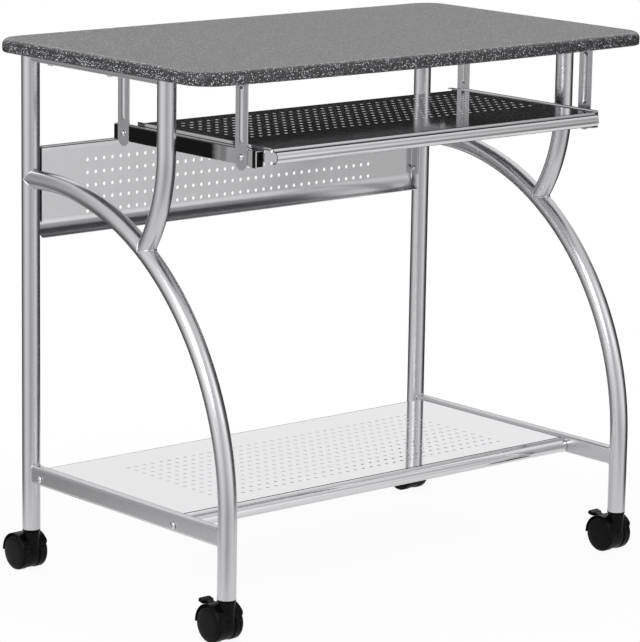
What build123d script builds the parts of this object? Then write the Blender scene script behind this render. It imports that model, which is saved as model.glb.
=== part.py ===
from build123d import *
import math
import os

# Rolling computer desk: a board on two tube side frames, with a shelf, a rear panel,
# a keyboard tray on ball slides and four twin-wheel casters.
# Millimetres. X runs left to right, Y front to back, Z up from the floor.

# Board
DESK_H = 740.0
TOP_W = 800.0
TOP_D = 452.0
TOP_T = 18.0
TOP_BOW = 14.0
TOP_CORNER_R = 40.0
TOP_EDGE_R = 9.0
TOP_UNDER_R = 3.0
REAR_OVERHANG = 32.0

# Side frames
SIDE_OVERHANG = 43.0
LEG_SPAN = 428.0
TUBE_D = 25.0
TUBE_WALL = 1.2
ARCH_RUN = 44.0
ARCH_DROP = 191.0
STRUT_R = 230.0
STRUT_SETBACK = 296.5
RAIL_W = 15.0
RAIL_H = 25.0
RAIL_CORNER_R = 4.0
RAIL_Z = 138.5
TOP_RAIL_H = 13.0
TOP_RAIL_CORNER_R = 3.0
WELD_GAP = 0.05
SEAT_GAP = 0.05

# Sheet metal and its perforation
SHEET_T = 1.2
BEND_R = 2.0
BEND_STRIP = 4.0
HOLE_D = 5.4
HOLE_PITCH_X = 14.3
HOLE_PITCH_Y = 18.0
HOLE_COLUMNS = 37
HOLE_MARGIN = 30.0
LIP_R = 8.5
SHELF_CURL = 60.0
TRAY_CURL = 10.0

# Lower shelf
SHELF_Z = 147.5
SHELF_D = 312.0
SHELF_REAR_GAP = 9.5
SHELF_SIDE_GAP = 0.3
SHELF_FLANGE_H = 22.0
SHELF_STEP = 3.5
SHELF_ROWS = 12
SHELF_ROWS_FROM_REAR = 66.5

# Rear panel
PANEL_DROP = 149.0
PANEL_H = 125.0
PANEL_SETBACK = 6.0
PANEL_SIDE_GAP = 0.3
PANEL_FLANGE = 14.0
PANEL_HEM = 8.0
PANEL_BEND_R = 12.0
PANEL_ROWS = 5

# Keyboard tray
TRAY_SIDE_ROOM = 63.0
TRAY_D = 282.0
TRAY_DROP = 103.0
TRAY_NOSE_PROUD = 2.0
TRAY_FLANGE_H = 24.0
TRAY_STEP = 2.5
TRAY_LIP_SHORT = 4.0
TRAY_ROWS = 9
TRAY_ROWS_FROM_REAR = 33.0

# Ball slides
SLIDE_L = 288.0
SLIDE_W = 12.7
SLIDE_H = 22.0
SLIDE_T = 1.2
SLIDE_DROP = 13.5
SLIDE_FRONT_SETBACK = 28.5
BUMPER_L = 8.0
BUMPER_R = 1.5
SLIDE_FLANGE = 9.7
SLIDE_CORNER_R = 2.0
BALL_D = 2.8
INNER_FLANGE = 7.5
INNER_CORNER_R = 1.5
BALL_CLEARANCE = 0.1
BALL_PITCH = 18.0
BALLS_PER_ROW = 4
CAGE_L = 80.0
CAGE_T = 0.8
CAGE_BACK_GAP = 1.7

# Hanger strips
HANGER_W = 24.0
HANGER_T = 1.5
HANGER_BELOW_SLIDE = 17.0
HANGER_FOOT = 28.0
HANGER_FROM_FRONT = 20.0
HANGER_FROM_REAR = 22.0
RIB_R = 5.0
RIB_PROUD = 1.8
RIB_ABOVE_SLIDE = 18.0
RIB_BELOW_FOOT = 8.0

# Screws
SCREW_D = 4.0
SCREW_CLEARANCE = 0.2
SCREW_HEAD_D = 8.6
SCREW_HEAD_H = 2.6
BOARD_BITE = 11.0
PILOT_SPARE = 1.0
TOP_SCREWS_FROM_STRUT = (120.0, 250.0)
FOOT_SCREWS_FROM_STRIP = (9.5, 21.0)
SLIDE_SCREW_TIP = 0.9
TRAY_SCREW_SHARES = (0.16, 0.55, 0.92)
TRAY_SCREW_TIP = 1.5
SHELF_SCREW_D = 5.0
SHELF_HEAD_D = 10.5
SHELF_HEAD_H = 3.0
SHELF_SCREW_FROM_REAR = 8.0
NUT_ACROSS = 8.0
NUT_H = 4.0
PANEL_HEAD_D = 7.0
PANEL_SCREW_FROM_EDGE = 32.0
PANEL_SCREW_TIP = 5.0

# Casters
WHEEL_D = 50.0
WHEEL_W = 13.0
WHEEL_GAP = 0.5
WHEEL_OUTER_R = 4.0
WHEEL_INNER_R = 1.5
DISH_RIM = 6.5
DISH_HUB_R = 8.0
DISH_DEPTH = 1.2
CASTER_TRAIL = 13.0
CASTER_HEADROOM = 4.8
HOOD_T = 1.6
WHEEL_WELL_GAP = 0.6
HOOD_WEB_W = 14.0
HOOD_EDGE_R = 1.2
HOOD_FLOOR_DROP = 1.5
HOOD_FRONT_LIFT = 40.0
HOOD_BOSS_D = 23.0
HOOD_BOSS_R = 2.0
HOOD_HUB_R = 10.0
SWIVEL_GAP = 0.3
RUNNING_GAP = 0.05
AXLE_D = 6.0
AXLE_CAP = 2.5
AXLE_END_GAP = 0.3
STEM_D = 10.0
STEM_UP = 34.0
STEM_DOWN = 23.0
STEM_CHAMFER = 1.0
SOCKET_L = 36.0
SOCKET_FLANGE_H = 2.0
SOCKET_GAP = 0.1

# Brake lever of a front caster, its pivot a little inside the hood's round and up from the axle
LEVER_PIVOT_DEPTH = 3.75
LEVER_PIVOT_ANGLE = 57.0
LEVER_HUB_R = 3.4
LEVER_NECK_W = 9.6
LEVER_NECK_L = 11.5
LEVER_PADDLE_W = 19.0
LEVER_L = 22.0
LEVER_T = 4.6
LEVER_TILT = 12.0
LEVER_PIN_D = 3.0
LEVER_PIN_L = 1.2
LEVER_SIDE_GAP = 0.4
LEVER_SLOT_DROP = 6.5

# Derived places
TUBE_R = TUBE_D / 2
WHEEL_R = WHEEL_D / 2
HOOD_R = WHEEL_R + WHEEL_WELL_GAP + HOOD_T
CASTER_H = WHEEL_R + HOOD_R + CASTER_HEADROOM
HOOD_TOP = CASTER_H - SWIVEL_GAP
LEVER_PIVOT_R = HOOD_R - LEVER_PIVOT_DEPTH
LEVER_PIVOT_Y = CASTER_TRAIL + LEVER_PIVOT_R * math.cos(math.radians(LEVER_PIVOT_ANGLE))
LEVER_PIVOT_Z = WHEEL_R + LEVER_PIVOT_R * math.sin(math.radians(LEVER_PIVOT_ANGLE))
HOOD_W = HOOD_WEB_W + 2 * (WHEEL_GAP + WHEEL_W)
FRAME_X = TOP_W / 2 - SIDE_OVERHANG
TOP_UNDER_Z = DESK_H - TOP_T
# The footprint runs from the front legs or casters to the rear casters, and is centred on the origin
FRONT_REACH = max(TUBE_R, WHEEL_R - CASTER_TRAIL)
POST_Y = (LEG_SPAN + FRONT_REACH - CASTER_TRAIL - HOOD_R) / 2
LEG_Y = POST_Y - LEG_SPAN
STRUT_Y = POST_Y - STRUT_SETBACK
TOP_BACK_Y = POST_Y + REAR_OVERHANG
TOP_FRONT_Y = TOP_BACK_Y - TOP_D
TUBE_END_Z = CASTER_H + SOCKET_FLANGE_H
TUBE_TOP_Z = TOP_UNDER_Z - SEAT_GAP
TOP_RAIL_Z = TUBE_TOP_Z - TOP_RAIL_H / 2
ARCH_TOP_Z = DESK_H - ARCH_DROP
# The front leg is straight up to the lower rail's top, whatever the desk's height
ARCH_R = min(LEG_SPAN - ARCH_RUN, ARCH_TOP_Z - RAIL_Z - RAIL_H / 2)
ARCH_Y = LEG_Y + ARCH_R
ARCH_Z = ARCH_TOP_Z - ARCH_R
# The strut's arc ends square on the arch, where a line from the arch's centre touches the arc
STRUT_ARC_Y = STRUT_Y + STRUT_R
STRUT_REACH = math.hypot(ARCH_R + TUBE_R, STRUT_R)
STRUT_ARC_Z = ARCH_Z + math.sqrt(STRUT_REACH**2 - (STRUT_ARC_Y - ARCH_Y) ** 2)
STRUT_AIM = math.atan2(ARCH_Z - STRUT_ARC_Z, ARCH_Y - STRUT_ARC_Y)
STRUT_SWEEP = math.pi + STRUT_AIM - math.acos(STRUT_R / STRUT_REACH)
SHELF_X = FRAME_X - RAIL_W / 2 - SHELF_SIDE_GAP
SHELF_BACK_Y = POST_Y - TUBE_R - SHELF_REAR_GAP
SHELF_LIP_Y = SHELF_BACK_Y - SHELF_D + LIP_R
SHELF_LIP_Z = SHELF_Z - SHELF_STEP - LIP_R
SHELF_SCREW_YS = (SHELF_BACK_Y - SHELF_SCREW_FROM_REAR, SHELF_LIP_Y)
PANEL_X = FRAME_X - TUBE_R - PANEL_SIDE_GAP
PANEL_Y = POST_Y + PANEL_SETBACK
PANEL_TOP_Z = DESK_H - PANEL_DROP
PANEL_BOTTOM_Z = PANEL_TOP_Z - PANEL_H
PANEL_SCREW_ZS = (PANEL_BOTTOM_Z + PANEL_SCREW_FROM_EDGE, PANEL_TOP_Z - PANEL_SCREW_FROM_EDGE)
TRAY_X = FRAME_X - TRAY_SIDE_ROOM
TRAY_Z = DESK_H - TRAY_DROP
TRAY_NOSE_Y = TOP_FRONT_Y - TOP_BOW - TRAY_NOSE_PROUD
TRAY_BACK_Y = TRAY_NOSE_Y + TRAY_D
TRAY_LIP_Y = TRAY_NOSE_Y + LIP_R
TRAY_LIP_Z = TRAY_Z - TRAY_STEP - LIP_R
SLIDE_Z = TRAY_Z - SLIDE_DROP
SLIDE_FRONT_Y = TRAY_NOSE_Y + SLIDE_FRONT_SETBACK
SLIDE_BACK_Y = SLIDE_FRONT_Y + SLIDE_L
BUMPER_FRONT_Y = SLIDE_FRONT_Y - BUMPER_L
SLIDE_MID_Y = (SLIDE_FRONT_Y + SLIDE_BACK_Y) / 2
TRAY_SCREW_SPAN = min(SLIDE_L, TRAY_BACK_Y - SLIDE_FRONT_Y)
TRAY_SCREW_YS = [SLIDE_FRONT_Y + share * TRAY_SCREW_SPAN for share in TRAY_SCREW_SHARES]
SLIDE_OUT_X = TRAY_X + SLIDE_W
BALL_R = BALL_D / 2
BALL_Z = SLIDE_H / 2 - SLIDE_T - BALL_CLEARANCE - BALL_R
INNER_H = 2 * (BALL_Z - BALL_R - BALL_CLEARANCE)
CAGE_BACK_X = SLIDE_OUT_X - SLIDE_T - CAGE_BACK_GAP
CAGE_FLANGE = SLIDE_FLANGE - SLIDE_T - CAGE_BACK_GAP
BALL_X = CAGE_BACK_X - CAGE_T - (CAGE_FLANGE - CAGE_T) / 2
HANGER_X = SLIDE_OUT_X + SEAT_GAP
HANGER_YS = {"front": SLIDE_FRONT_Y + HANGER_FROM_FRONT, "rear": SLIDE_BACK_Y - HANGER_FROM_REAR}
HANGER_TIP_Z = SLIDE_Z - HANGER_BELOW_SLIDE
SIDES = {"left": -1, "right": 1}
CASTERS = {
    "front_left": (-FRAME_X, LEG_Y),
    "front_right": (FRAME_X, LEG_Y),
    "rear_left": (-FRAME_X, POST_Y),
    "rear_right": (FRAME_X, POST_Y),
}


def along_y(section, y_from, y_to):
    """Extrude a section drawn in X and Z between two places along Y."""
    bar = extrude(section, (y_to - y_from) / 2, both=True)
    return Pos(0, (y_from + y_to) / 2, 0) * Rot(90, 0, 0) * bar


def along_x(section, half_width):
    """Extrude a section drawn in Y and Z to both sides of X = 0."""
    return extrude(Plane.YZ * section, half_width, both=True)


def on_side(shape, side):
    """A shape made for the right side, or its mirror image for the left."""
    return shape if side > 0 else mirror(shape, about=Plane.YZ)


def rod(diameter, z_from, z_to):
    """An upright cylinder on the Z axis."""
    return Pos(0, 0, (z_from + z_to) / 2) * Cylinder(diameter / 2, z_to - z_from)


def screw(length, shank_d=SCREW_D, head_d=SCREW_HEAD_D, head_h=SCREW_HEAD_H):
    """A domed screw along Z with its seat at Z = 0 and its tip at Z = length."""
    head = rod(head_d, -head_h, 0)
    head = fillet(head.edges().sort_by(Axis.Z)[0], 0.8 * head_h)
    return head + rod(shank_d, 0, length)


def facing_x(shape, side):
    """Turn a shape that points along +Z so that it points along X, to the given side."""
    return Rot(0, 90 * side, 0) * shape


def hole_places(half_width, front, rows, first_row):
    """Centres of a perforation, as many columns and rows as leave the margin free."""
    side = min((HOLE_COLUMNS - 1) // 2, int((half_width - HOLE_MARGIN) / HOLE_PITCH_X))
    depth = min(rows, 1 + int((first_row - front - HOLE_MARGIN) / HOLE_PITCH_Y))
    columns = [i * HOLE_PITCH_X for i in range(-side, side + 1)]
    return [(x, first_row - j * HOLE_PITCH_Y) for j in range(depth) for x in columns]


def perforated_sheet(half_width, back, front, rows, first_row):
    """A flat sheet in X and Y, its upper face at Z = 0, pierced by rows of holes."""
    outline = Pos(0, (back + front) / 2) * Rectangle(2 * half_width, back - front)
    places = hole_places(half_width, front, rows, first_row)
    holes = [Wire.make_circle(HOLE_D / 2, Plane((x, y, 0))) for x, y in places]
    return extrude(Face(outline.wire(), holes), -SHEET_T)


def bent_edge(drop):
    """Section of a sheet's bent edge: a flat strip to the left of X = 0 and a flange down."""
    strip = Pos(-BEND_STRIP / 2, -SHEET_T / 2) * Rectangle(BEND_STRIP, SHEET_T)
    flange = Pos(-SHEET_T / 2, -drop / 2) * Rectangle(SHEET_T, drop)
    corner = strip + flange
    return fillet(corner.vertices().group_by(Axis.X)[-1].sort_by(Axis.Y)[-1], BEND_R - SHEET_T / 2)


def rolled_lip(lip_y, lip_z, deck_z, curl):
    """Section of a rolled front lip in Y and Z: a step down from the deck, then a roll open at the back.

    The roll goes on past its lowest point by the angle curl.
    """
    roll = Circle(LIP_R) - Circle(LIP_R - SHEET_T)
    turn = math.radians(curl - 90)
    end = (2 * LIP_R * math.cos(turn), 2 * LIP_R * math.sin(turn))
    gap = Polygon((0, 0), end, (2 * LIP_R, 2 * LIP_R), (0, 2 * LIP_R), align=None)
    step_h = deck_z - lip_z - LIP_R + SHEET_T
    step = Pos(SHEET_T / 2, LIP_R - SHEET_T + step_h / 2) * Rectangle(SHEET_T, step_h)
    return Pos(lip_y, lip_z) * ((roll - gap) + step)


def desktop():
    """Board with a bowed front edge, round corners, a rolled upper edge and screw pilots below."""
    left, right = -TOP_W / 2, TOP_W / 2
    front = ThreePointArc((right, TOP_FRONT_Y), (0, TOP_FRONT_Y - TOP_BOW), (left, TOP_FRONT_Y))
    rim = Polyline((left, TOP_FRONT_Y), (left, TOP_BACK_Y), (right, TOP_BACK_Y), (right, TOP_FRONT_Y))
    outline = make_face([front, *rim.edges()])
    outline = fillet(outline.vertices(), TOP_CORNER_R)
    board = Pos(0, 0, TOP_UNDER_Z) * extrude(outline, TOP_T)
    board = fillet(board.faces().sort_by(Axis.Z)[-1].edges(), TOP_EDGE_R)
    board = fillet(board.faces().sort_by(Axis.Z)[0].edges(), TOP_UNDER_R)
    pilot = rod(SCREW_D + 2 * SEAT_GAP, TOP_UNDER_Z - PILOT_SPARE, TOP_UNDER_Z + BOARD_BITE + PILOT_SPARE)
    return board - [Pos(x, y, 0) * pilot for x, y in top_screw_places() + foot_screw_places()]


def top_screw_places():
    """Where screws pass up through the top rails into the board."""
    return [(s * FRAME_X, STRUT_Y + y) for s in SIDES.values() for y in TOP_SCREWS_FROM_STRUT]


def foot_screw_places():
    """Where screws pass up through the hanger feet into the board."""
    return [
        (s * (HANGER_X - x), y)
        for s in SIDES.values()
        for y in HANGER_YS.values()
        for x in FOOT_SCREWS_FROM_STRIP
    ]


def ring(radius):
    """Section of the round frame tube."""
    return Circle(radius) - Circle(radius - TUBE_WALL)


def post_rod(y, gap):
    """The space that an upright frame tube takes at a place along Y, with a gap round it."""
    return Pos(0, y, 0) * rod(TUBE_D + 2 * gap, 0, DESK_H)


def rear_post():
    """Straight rear tube from the caster socket to the board."""
    return Pos(0, POST_Y, TUBE_END_Z) * extrude(ring(TUBE_R), TUBE_TOP_Z - TUBE_END_Z)


def arch_path():
    """Centre line of the arched leg: out of the post, a quarter turn, then straight down."""
    start = (0, POST_Y, ARCH_TOP_Z)
    crown = (0, ARCH_Y, ARCH_TOP_Z)
    half = ARCH_R * math.sqrt(0.5)
    knee = (0, LEG_Y, ARCH_Z)
    bend = ThreePointArc(crown, (0, ARCH_Y - half, ARCH_Z + half), knee)
    return Wire([Line(start, crown), bend, Line(knee, (0, LEG_Y, TUBE_END_Z))])


def arch_leg():
    """Arched tube, shaped at its upper end to sit against the rear post."""
    start = Plane((0, POST_Y, ARCH_TOP_Z), x_dir=(1, 0, 0), z_dir=(0, -1, 0))
    return sweep(start * ring(TUBE_R), path=arch_path()) - post_rod(POST_Y, WELD_GAP)


def upper_strut():
    """Tube from the board down to the arch, curved back so that it lands square on it."""
    top = (0, STRUT_Y, TUBE_TOP_Z)
    bend_from = (0, STRUT_Y, STRUT_ARC_Z)

    def on_arc(angle):
        return (0, STRUT_ARC_Y - STRUT_R * math.cos(angle), STRUT_ARC_Z - STRUT_R * math.sin(angle))

    foot = on_arc(STRUT_SWEEP)
    inside = (0, foot[1] + TUBE_R * math.sin(STRUT_SWEEP), foot[2] - TUBE_R * math.cos(STRUT_SWEEP))
    bend = ThreePointArc(bend_from, on_arc(STRUT_SWEEP / 2), foot)
    path = Wire([Line(top, bend_from), bend, Line(foot, inside)])
    start = Plane(top, x_dir=(1, 0, 0), z_dir=(0, 0, -1))
    leg_start = Plane((0, POST_Y, ARCH_TOP_Z), x_dir=(1, 0, 0), z_dir=(0, -1, 0))
    arch_room = sweep(leg_start * Circle(TUBE_R + WELD_GAP), path=arch_path())
    return sweep(start * ring(TUBE_R), path=path) - arch_room


def flat_tube(height, corner_r, z, y_from, y_to):
    """Flat-sided tube along Y, shaped at its ends to sit against the upright tubes there."""
    section = RectangleRounded(RAIL_W, height, corner_r)
    bore = RectangleRounded(RAIL_W - 2 * TUBE_WALL, height - 2 * TUBE_WALL, corner_r - TUBE_WALL)
    bar = Pos(0, 0, z) * along_y(section - bore, y_from, y_to)
    return bar - [post_rod(y_from, WELD_GAP), post_rod(y_to, WELD_GAP)]


def top_rail():
    """Flat-sided tube under the board, with its screw holes."""
    rail = flat_tube(TOP_RAIL_H, TOP_RAIL_CORNER_R, TOP_RAIL_Z, STRUT_Y, POST_Y)
    hole = rod(SCREW_D + 2 * SCREW_CLEARANCE, TOP_RAIL_Z - TOP_RAIL_H, TOP_RAIL_Z + TOP_RAIL_H)
    return rail - [Pos(0, STRUT_Y + y, 0) * hole for y in TOP_SCREWS_FROM_STRUT]


def lower_rail():
    """Flat-sided tube between the rear post and the front leg, drilled for the shelf screws."""
    rail = flat_tube(RAIL_H, RAIL_CORNER_R, RAIL_Z, LEG_Y, POST_Y)
    hole = facing_x(rod(SHELF_SCREW_D + 2 * SCREW_CLEARANCE, -RAIL_W, RAIL_W), 1)
    return rail - [Pos(0, y, SHELF_LIP_Z) * hole for y in SHELF_SCREW_YS]


def lower_shelf():
    """Pierced shelf with side flanges, a rear flange and a rolled front lip."""
    first_row = SHELF_BACK_Y - SHELF_ROWS_FROM_REAR
    deck_x = SHELF_X - BEND_STRIP
    deck_back = SHELF_BACK_Y - BEND_STRIP
    deck = perforated_sheet(deck_x, deck_back, SHELF_LIP_Y, SHELF_ROWS, first_row)
    side = Pos(SHELF_X, 0, 0) * along_y(bent_edge(SHELF_FLANGE_H), SHELF_LIP_Y, SHELF_BACK_Y)
    rear = Pos(SHELF_BACK_Y, 0) * bent_edge(SHELF_FLANGE_H)
    ear_round = Cylinder(LIP_R, SHEET_T)
    ear = Pos(SHELF_X - SHEET_T / 2, SHELF_LIP_Y, SHELF_LIP_Z - SHELF_Z) * facing_x(ear_round, 1)
    shelf = deck + [on_side(side + ear, s) for s in SIDES.values()]
    shelf += along_x(rear, SHELF_X - SHEET_T)
    shelf = Pos(0, 0, SHELF_Z) * shelf
    shelf += along_x(rolled_lip(SHELF_LIP_Y, SHELF_LIP_Z, SHELF_Z, SHELF_CURL), SHELF_X - SHEET_T / 2)
    hole = facing_x(rod(SHELF_SCREW_D + 2 * SCREW_CLEARANCE, -TOP_W / 2, TOP_W / 2), 1)
    return shelf - [Pos(0, y, SHELF_LIP_Z) * hole for y in SHELF_SCREW_YS]


def rear_panel():
    """Pierced panel between the posts: a shallow pan open to the front with a hemmed upper edge."""
    first_row = PANEL_TOP_Z - (PANEL_H - (PANEL_ROWS - 1) * HOLE_PITCH_Y) / 2
    face_x = PANEL_X - BEND_STRIP
    face_top = PANEL_TOP_Z - BEND_STRIP
    face_bottom = PANEL_BOTTOM_Z + PANEL_BEND_R
    face = perforated_sheet(face_x, face_top, face_bottom, PANEL_ROWS, first_row)
    flange = bent_edge(PANEL_FLANGE)
    end = Pos(PANEL_X, 0, 0) * along_y(flange, PANEL_BOTTOM_Z + PANEL_BEND_R, PANEL_TOP_Z - BEND_R)
    upper = Pos(PANEL_TOP_Z, 0) * flange
    hem = Pos(PANEL_TOP_Z - PANEL_HEM / 2, SHEET_T / 2 - PANEL_FLANGE) * Rectangle(PANEL_HEM, SHEET_T)
    bend = Circle(PANEL_BEND_R) - Circle(PANEL_BEND_R - SHEET_T)
    bend &= Pos(-PANEL_BEND_R / 2, PANEL_BEND_R / 2) * Rectangle(PANEL_BEND_R, PANEL_BEND_R)
    bend = Pos(PANEL_BOTTOM_Z + PANEL_BEND_R, -PANEL_BEND_R) * bend
    rest = PANEL_FLANGE - PANEL_BEND_R
    lower = bend + Pos(PANEL_BOTTOM_Z + SHEET_T / 2, -PANEL_BEND_R - rest / 2) * Rectangle(SHEET_T, rest)
    edge_x = PANEL_X - SHEET_T
    pan = face + [on_side(end, s) for s in SIDES.values()]
    pan += along_x(upper + hem, edge_x)
    pan += along_x(lower, edge_x)
    pan = Pos(0, PANEL_Y, 0) * Rot(0, 0, 180) * Rot(90, 0, 0) * pan
    hole = facing_x(rod(SCREW_D + 2 * SCREW_CLEARANCE, -TOP_W / 2, TOP_W / 2), 1)
    return pan - [Pos(0, POST_Y, z) * hole for z in PANEL_SCREW_ZS]


def keyboard_tray():
    """Pierced tray with side flanges for the slides and a rolled front lip."""
    first_row = TRAY_BACK_Y - TRAY_ROWS_FROM_REAR
    deck_back = TRAY_BACK_Y - BEND_STRIP
    deck = perforated_sheet(TRAY_X - BEND_STRIP, deck_back, TRAY_LIP_Y, TRAY_ROWS, first_row)
    side = Pos(TRAY_X, 0, 0) * along_y(bent_edge(TRAY_FLANGE_H), BUMPER_FRONT_Y, TRAY_BACK_Y)
    front_edge = Pos(-BEND_STRIP / 2, -SHEET_T / 2) * Rectangle(BEND_STRIP, SHEET_T)
    side += Pos(TRAY_X, 0, 0) * along_y(front_edge, TRAY_LIP_Y, BUMPER_FRONT_Y)
    rear = Pos(TRAY_BACK_Y, 0) * bent_edge(LIP_R)
    tray = deck + [on_side(side, s) for s in SIDES.values()]
    tray += along_x(rear, TRAY_X - SHEET_T)
    tray = Pos(0, 0, TRAY_Z) * tray
    lip = rolled_lip(TRAY_LIP_Y, TRAY_LIP_Z, TRAY_Z, TRAY_CURL)
    tray += along_x(lip, TRAY_X - TRAY_LIP_SHORT)
    hole = facing_x(rod(SCREW_D + 2 * SCREW_CLEARANCE, -TRAY_X, TRAY_X), 1)
    return tray - [Pos(0, y, SLIDE_Z) * hole for y in TRAY_SCREW_YS]


def channel(back_x, height, flange, thickness, corner_r, y_from, y_to):
    """C-channel along Y at the slide's height, its back at back_x and its flanges towards -X."""
    outside = Rectangle(flange, height)
    outside = fillet(outside.vertices().group_by(Axis.X)[-1], corner_r)
    inside = Pos(-thickness, 0) * Rectangle(flange, height - 2 * thickness)
    return Pos(back_x - flange / 2, 0, SLIDE_Z) * along_y(outside - inside, y_from, y_to)


def slide_outer():
    """Fixed member of the right slide, drilled for the hanger screws."""
    size = (SLIDE_OUT_X, SLIDE_H, SLIDE_FLANGE, SLIDE_T, SLIDE_CORNER_R, SLIDE_FRONT_Y, SLIDE_BACK_Y)
    member = channel(*size)
    hole = facing_x(rod(SCREW_D + 2 * SEAT_GAP, -SLIDE_W, SLIDE_W), 1)
    return member - [Pos(SLIDE_OUT_X, y, SLIDE_Z) * hole for y in HANGER_YS.values()]


def slide_inner():
    """Moving member of the right slide, screwed to the tray's flange."""
    size = (0, INNER_H, INNER_FLANGE, SLIDE_T, INNER_CORNER_R, SLIDE_FRONT_Y, SLIDE_BACK_Y)
    facing_out = Pos(TRAY_X + SEAT_GAP, 0, 0) * mirror(channel(*size), about=Plane.YZ)
    hole = facing_x(rod(SCREW_D + 2 * SEAT_GAP, -SLIDE_W, SLIDE_W), 1)
    return facing_out - [Pos(TRAY_X, y, SLIDE_Z) * hole for y in TRAY_SCREW_YS]


def slide_bumpers():
    """Blocks on the front ends of the moving members, which close the slides when the tray is in."""
    width = SLIDE_W - SEAT_GAP
    block = Pos(0, -BUMPER_L / 2, 0) * Box(width, BUMPER_L, SLIDE_H)
    block = fillet(block.faces().sort_by(Axis.Y)[0].edges(), BUMPER_R)
    x = SLIDE_OUT_X - width / 2
    return [Pos(s * x, SLIDE_FRONT_Y, SLIDE_Z) * block for s in SIDES.values()]


def ball_places():
    """Where the right slide's balls run, in two rows between the members."""
    first = SLIDE_MID_Y - (BALLS_PER_ROW - 1) / 2 * BALL_PITCH
    ys = [first + i * BALL_PITCH for i in range(BALLS_PER_ROW)]
    return [(BALL_X, y, SLIDE_Z + s * BALL_Z) for s in (-1, 1) for y in ys]


def slide_cage():
    """Ball cage of the right slide, a light channel with a hole for each ball."""
    size = (CAGE_BACK_X, 2 * BALL_Z + CAGE_T, CAGE_FLANGE, CAGE_T, CAGE_T)
    cage = channel(*size, SLIDE_MID_Y - CAGE_L / 2, SLIDE_MID_Y + CAGE_L / 2)
    hole = Cylinder(BALL_R + BALL_CLEARANCE, 2 * CAGE_T)
    return cage - [Pos(*place) * hole for place in ball_places()]


def slide_balls():
    """Balls of both slides."""
    return [Pos(s * x, y, z) * Sphere(BALL_R) for s in SIDES.values() for x, y, z in ball_places()]


def hanger(y):
    """Right hanger: a ribbed strip with a foot under the board and a round lower end."""
    strip_h = TUBE_TOP_Z - HANGER_TIP_Z - HANGER_W / 2
    outline = Pos(0, strip_h / 2) * Rectangle(HANGER_W, strip_h) + Circle(HANGER_W / 2)
    strip = extrude(Plane.YZ * outline, HANGER_T)
    strip = Pos(HANGER_X, y, HANGER_TIP_Z + HANGER_W / 2) * strip
    foot_x = HANGER_X + HANGER_T - HANGER_FOOT / 2
    foot = Pos(foot_x, y, TUBE_TOP_Z - HANGER_T / 2) * Box(HANGER_FOOT, HANGER_W, HANGER_T)
    bracket = strip + foot
    corner = bracket.edges().filter_by(Axis.Y).sort_by(lambda e: e.center().X + e.center().Z)[-1]
    bracket = fillet(corner, HANGER_T)
    rib_from = SLIDE_Z + RIB_ABOVE_SLIDE + RIB_R
    rib = rod(2 * RIB_R, rib_from, TUBE_TOP_Z - RIB_BELOW_FOOT) + Pos(0, 0, rib_from) * Sphere(RIB_R)
    rib = Pos(HANGER_X + HANGER_T + RIB_PROUD - RIB_R, y, 0) * rib
    room = Pos(HANGER_X - RIB_R, y, (rib_from + TUBE_TOP_Z) / 2) * Box(2 * RIB_R, HANGER_W, TUBE_TOP_Z)
    bracket += rib - room
    screw_hole = facing_x(rod(SCREW_D + 2 * SCREW_CLEARANCE, -SLIDE_W, SLIDE_W), 1)
    foot_hole = rod(SCREW_D + 2 * SCREW_CLEARANCE, TUBE_TOP_Z - 2 * HANGER_T, TUBE_TOP_Z + HANGER_T)
    bracket -= Pos(HANGER_X, y, SLIDE_Z) * screw_hole
    return bracket - [Pos(HANGER_X - x, y, 0) * foot_hole for x in FOOT_SCREWS_FROM_STRIP]


def board_screws(places, seat_z):
    """Screws that point up into the board from a seat below it."""
    return [Pos(x, y, seat_z) * screw(TOP_UNDER_Z + BOARD_BITE - seat_z) for x, y in places]


def slide_screws():
    """Screws through the hangers into the fixed slide members."""
    seat = HANGER_X + HANGER_T
    bolt = screw(seat - SLIDE_OUT_X + SLIDE_T + SLIDE_SCREW_TIP)
    return [
        Pos(s * seat, y, SLIDE_Z) * facing_x(bolt, -s) for s in SIDES.values() for y in HANGER_YS.values()
    ]


def tray_screws():
    """Screws through the tray's flanges into the moving slide members."""
    seat = TRAY_X - SHEET_T
    bolt = screw(SHEET_T + SEAT_GAP + SLIDE_T + TRAY_SCREW_TIP)
    return [Pos(s * seat, y, SLIDE_Z) * facing_x(bolt, s) for s in SIDES.values() for y in TRAY_SCREW_YS]


def shelf_screws():
    """Screws through the lower rails into the shelf's side flanges."""
    seat = FRAME_X + RAIL_W / 2
    length = RAIL_W + SHELF_SIDE_GAP + SHEET_T + NUT_H
    bolt = screw(length, SHELF_SCREW_D, SHELF_HEAD_D, SHELF_HEAD_H)
    return [
        Pos(s * seat, y, SHELF_LIP_Z) * facing_x(bolt, -s) for s in SIDES.values() for y in SHELF_SCREW_YS
    ]


def shelf_nuts():
    """Nuts on the shelf screws, inside the shelf's flanges."""
    nut = extrude(RegularPolygon(NUT_ACROSS / 2, 6, major_radius=False), NUT_H)
    nut -= rod(SHELF_SCREW_D + 2 * SEAT_GAP, -NUT_H, 2 * NUT_H)
    seat = SHELF_X - SHEET_T
    return [
        Pos(s * seat, y, SHELF_LIP_Z) * facing_x(nut, -s) for s in SIDES.values() for y in SHELF_SCREW_YS
    ]


def panel_screws():
    """Screws through the panel's end flanges into the rear posts."""
    seat = PANEL_X - SHEET_T
    bolt = screw(SHEET_T + PANEL_SIDE_GAP + PANEL_SCREW_TIP, head_d=PANEL_HEAD_D)
    return [Pos(s * seat, POST_Y, z) * facing_x(bolt, s) for s in SIDES.values() for z in PANEL_SCREW_ZS]


def drilled_post(side):
    """Rear post with the holes that take the panel screws."""
    hole = facing_x(rod(SCREW_D + 2 * SEAT_GAP, 0, TUBE_D), -side)
    return rear_post() - [Pos(0, POST_Y, z) * hole for z in PANEL_SCREW_ZS]


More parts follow.
